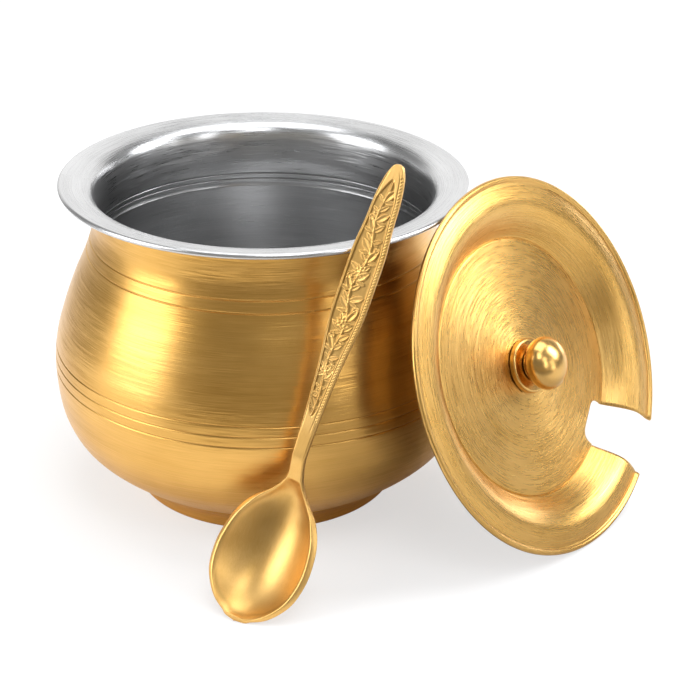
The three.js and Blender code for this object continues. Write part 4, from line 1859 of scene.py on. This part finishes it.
        count = points.shape[1]
        total = len(rows) * count
        ring = np.arange(count)
        beside = (ring + 1) % count
        first = np.stack([np.full(count, total), beside, ring], axis=1)
        base = total - count
        last = np.stack([np.full(count, total + 1), base + ring, base + beside], axis=1)
        faces = grid_faces(len(rows), count, False, True).tolist() + first.tolist() + last.tolist()
        ends = [points[0].mean(axis=0), points[-1].mean(axis=0)]
        places = np.concatenate([points.reshape(-1, 3), ends])
        values = np.concatenate([shade.ravel(), [0, 0]])
        return closed_object("spoon_body", self.place.place(places), faces, values, False)

    def build(self, brass: bpy.types.Material) -> None:
        """Builds, dresses and mounts the spoon.

        Args:
            brass: its finish.
        """
        mount(Body.SPOON, [(self.build_body(), brass, "spoon", "spoon_brass")])


# Studio


@dataclass(frozen=True)
class Lamp:
    """A soft rectangular lamp: its place and size in metres, and its power in watts."""

    name: str
    place: Triple
    size: Pair
    power: float


@dataclass
class Studio:
    """Pale floor, soft lamps, and the camera, in metres.

    Metal sees the floor and the sky darker in some directions than the camera does, as it would in
    a room. A pair of limits says between which places such a direction eases in.
    """

    floor_size: float = 6
    floor_colour: Triple = (0.86, 0.86, 0.86)
    dark_floor_colour: Triple = (0.06, 0.045, 0.03)
    floor_glow: float = 0.6
    floor_front: Pair = (0.11, 0.23)
    floor_front_dark: float = 0.82
    floor_left: Pair = (0.1, 0.3)
    floor_left_back: Pair = (-0.05, 0.1)
    floor_left_dark: float = 0.6
    floor_right_slant: float = 1.6
    floor_right: Pair = (0.06, 0.14)
    floor_right_near: Pair = (-0.02, 0.07)
    floor_right_far: Pair = (0.12, 0.2)
    floor_right_dark: float = 0.58
    floor_right_fade: float = 0.5
    sky_back: Pair = (0.55, 0.85)
    sky_front: Pair = (-0.2, 0.6)
    sky_right: Pair = (0.72, 0.88)
    sky_right_back: Pair = (-0.32, -0.1)
    sky_upper_back: Pair = (0.6, 0.9)
    sky_rise: Pair = (0.1, 0.45)
    room_light: float = 0.44
    room_back_light: float = 0.7
    room_front_dark: float = 0.04
    upper_light: float = 0.3
    upper_back_light: float = 1.15
    right_dark: float = 0.55
    matt_light: float = 0.62
    warm_colour: Triple = (1, 0.88, 0.66)
    image_width: float = 679
    focal_pixels: float = 1915
    sensor: float = 36
    clip_start: float = 0.01
    camera_place: Triple = (0.0207, -0.4831, 0.2660)
    pitch: float = math.radians(90 - 25.07)
    roll: float = math.radians(0.68)
    lamp_colour: Triple = (0.985, 1.0, 1.03)
    lamp_aim: Triple = (0.02, 0, 0.05)
    lamps: tuple[Lamp, ...] = (
        Lamp("left_soft", (-0.81, -0.28, 0.45), (0.58, 0.8), 6.2),
        Lamp("right_soft", (0.6, -0.6, 0.48), (0.16, 0.5), 0.95),
        Lamp("side_soft", (0.76, 0.06, 0.51), (0.3, 0.5), 4),
        Lamp("low_soft", (0.79, -0.27, 0.2), (0.14, 0.34), 0.4),
        Lamp("back_soft", (0.6, 0.62, 0.1), (0.35, 0.15), 0.7),
        Lamp("front_soft", (0.12, -0.5, 0.8), (0.3, 0.3), 1.2),
        Lamp("top_soft", (0.1, 0.15, 1.0), (0.9, 0.7), 6),
    )

    def floor_material(self) -> bpy.types.Material:
        """White that keeps the shadows, and that metal sees darker in front and at the sides.

        Returns:
            The material.
        """
        material, bench = blank_material("floor_white")
        x, y, _ = bench.split(bench.node("ShaderNodeTexCoord").outputs["Object"])
        front = bench.smooth(y * -1, *self.floor_front)
        left = bench.smooth(x * -1, *self.floor_left) * bench.smooth(y, *self.floor_left_back)
        slanted = x - self.floor_right_slant * y
        right = bench.smooth(slanted, *self.floor_right) * bench.smooth(x, *self.floor_right_near)
        right = right * (1 - self.floor_right_fade * bench.smooth(x, *self.floor_right_far))
        # Painted shade that only metal sees: for glossy rays the floor turns dark in front, at the left and
        # at the right.
        sides = self.floor_front_dark * front + self.floor_left_dark * left
        dark = bench.maths("MAXIMUM", sides, self.floor_right_dark * right)
        rays = bench.node("ShaderNodeLightPath")
        glossy = Wire(bench, rays.outputs["Is Glossy Ray"])
        shown = bench.mix(glossy * dark, opaque(self.floor_colour), opaque(self.dark_floor_colour))
        diffuse = bench.node("ShaderNodeBsdfDiffuse", {}, {"Color": shown})
        glow = bench.node("ShaderNodeEmission", {}, {"Color": (1, 1, 1, 1), "Strength": 1.0})
        seen = Wire(bench, rays.outputs["Is Camera Ray"]) * self.floor_glow
        mixed = bench.node("ShaderNodeMixShader", {}, {0: seen, 1: diffuse.outputs[0], 2: glow.outputs[0]})
        bench.node("ShaderNodeOutputMaterial", {}, {0: mixed.outputs[0]})
        return material

    def build_floor(self) -> None:
        """A wide square floor."""
        half = self.floor_size / 2
        mesh = bpy.data.meshes.new("floor")
        corners = [(-half, -half, 0), (half, -half, 0), (half, half, 0), (-half, half, 0)]
        mesh.from_pydata(corners, [], [(0, 1, 2, 3)])
        floor = bpy.data.objects.new("floor", mesh)
        bpy.context.scene.collection.objects.link(floor)
        dress(floor, self.floor_material())

    def build_world(self) -> None:
        """Sky: white to the camera, and to metal a bright back and a dim room."""
        world = bpy.data.worlds.new("studio")
        bpy.context.scene.world = world
        world.use_nodes = True
        bench = Bench(world.node_tree)
        x, y, z = bench.split(bench.node("ShaderNodeTexCoord").outputs["Generated"])
        back = bench.smooth(y, *self.sky_back)
        front = bench.smooth(y * -1, *self.sky_front)
        right = bench.smooth(x, *self.sky_right) * bench.smooth(y, *self.sky_right_back)
        room = self.room_light + self.room_back_light * back - self.room_front_dark * front
        upper = self.upper_light + self.upper_back_light * bench.smooth(y, *self.sky_upper_back)
        rise = bench.smooth(z, *self.sky_rise)
        dim = (room * (1 - rise) + upper * rise) * (1 - self.right_dark * right)
        rays = bench.node("ShaderNodeLightPath")
        camera = Wire(bench, rays.outputs["Is Camera Ray"])
        glossy = Wire(bench, rays.outputs["Is Glossy Ray"])
        strength = camera + (1 - camera) * (glossy * dim + (1 - glossy) * self.matt_light)
        warm = bench.mix(glossy * front * (1 - rise), (1, 1, 1, 1), opaque(self.warm_colour))
        sky = bench.node("ShaderNodeBackground", {}, {"Color": warm, "Strength": strength})
        bench.node("ShaderNodeOutputWorld", {}, {0: sky.outputs[0]})

    def add_lamp(self, lamp: Lamp) -> None:
        """Adds a lamp that faces the object.

        Args:
            lamp: what the lamp is.
        """
        data = bpy.data.lights.new(lamp.name, "AREA")
        data.shape = "RECTANGLE"
        data.size, data.size_y = lamp.size
        data.energy = lamp.power
        data.color = self.lamp_colour
        stand = bpy.data.objects.new(lamp.name, data)
        stand.location = lamp.place
        facing = Vector(self.lamp_aim) - Vector(lamp.place)
        stand.rotation_euler = facing.to_track_quat("-Z", "Y").to_euler()
        bpy.context.scene.collection.objects.link(stand)

    def build_camera(self) -> None:
        """Camera at the photograph's viewing angle."""
        data = bpy.data.cameras.new("view")
        data.sensor_width = self.sensor
        data.lens = self.focal_pixels / self.image_width * self.sensor
        data.clip_start = self.clip_start
        camera = bpy.data.objects.new("view", data)
        turn = Matrix.Rotation(self.pitch, 4, "X") @ Matrix.Rotation(self.roll, 4, "Z")
        camera.matrix_world = Matrix.Translation(self.camera_place) @ turn
        bpy.context.scene.collection.objects.link(camera)
        bpy.context.scene.camera = camera

    def build(self) -> None:
        """Builds the floor, world, lamps and camera."""
        self.build_floor()
        self.build_world()
        for lamp in self.lamps:
            self.add_lamp(lamp)
        self.build_camera()
        bpy.context.scene.view_settings.view_transform = "Standard"


def main() -> None:
    """Builds every piece in order."""
    logging.basicConfig(level=logging.INFO, format="%(name)s: %(message)s")
    pot, lid, spoon = Pot(), Lid(), Spoon()
    shell_brass = TurnedMetal(
        name="satin_brass",
        light=(0.77, 0.455, 0.132),
        deep=(0.60, 0.33, 0.078),
        roughness=0.33,
        tilt=1.2,
        place=POT_PLACE,
        anisotropy=0.45,
    )
    steel = TurnedMetal(
        name="brushed_steel",
        light=(0.64, 0.64, 0.64),
        deep=(0.5, 0.5, 0.5),
        roughness=0.28,
        tilt=1.1,
        place=POT_PLACE,
        anisotropy=0.6,
    )
    lid_brass = TurnedMetal(
        name="lid_satin_brass",
        light=(0.78, 0.48, 0.155),
        deep=(0.64, 0.365, 0.092),
        roughness=0.28,
        tilt=1.6,
        place=lid.place,
        streak_size=0.3,
        streak_share=0.03,
        grain_size=0.03,
        grain_turns=2.5,
    )
    knob_brass = TurnedMetal(
        name="knob_satin_brass",
        light=(0.76, 0.47, 0.155),
        deep=(0.68, 0.4, 0.12),
        roughness=0.24,
        tilt=0.4,
        place=lid.place,
        streak_size=0.3,
        streak_share=0.05,
        grain_size=0.05,
        grain_turns=9,
    )
    spoon_brass = CastMetal(
        name="spoon_brass",
        light=(0.80, 0.505, 0.175),
        deep=(0.70, 0.41, 0.115),
        roughness=0.38,
        grain=0.022,
        place=spoon.place,
    )
    steel_finish = steel.material()
    Studio().build()
    pot.build(shell_brass.material(), steel_finish)
    lid.build(lid_brass.material(), knob_brass.material(), steel_finish)
    spoon.build(spoon_brass.material())


if __name__ == "__main__":
    main()
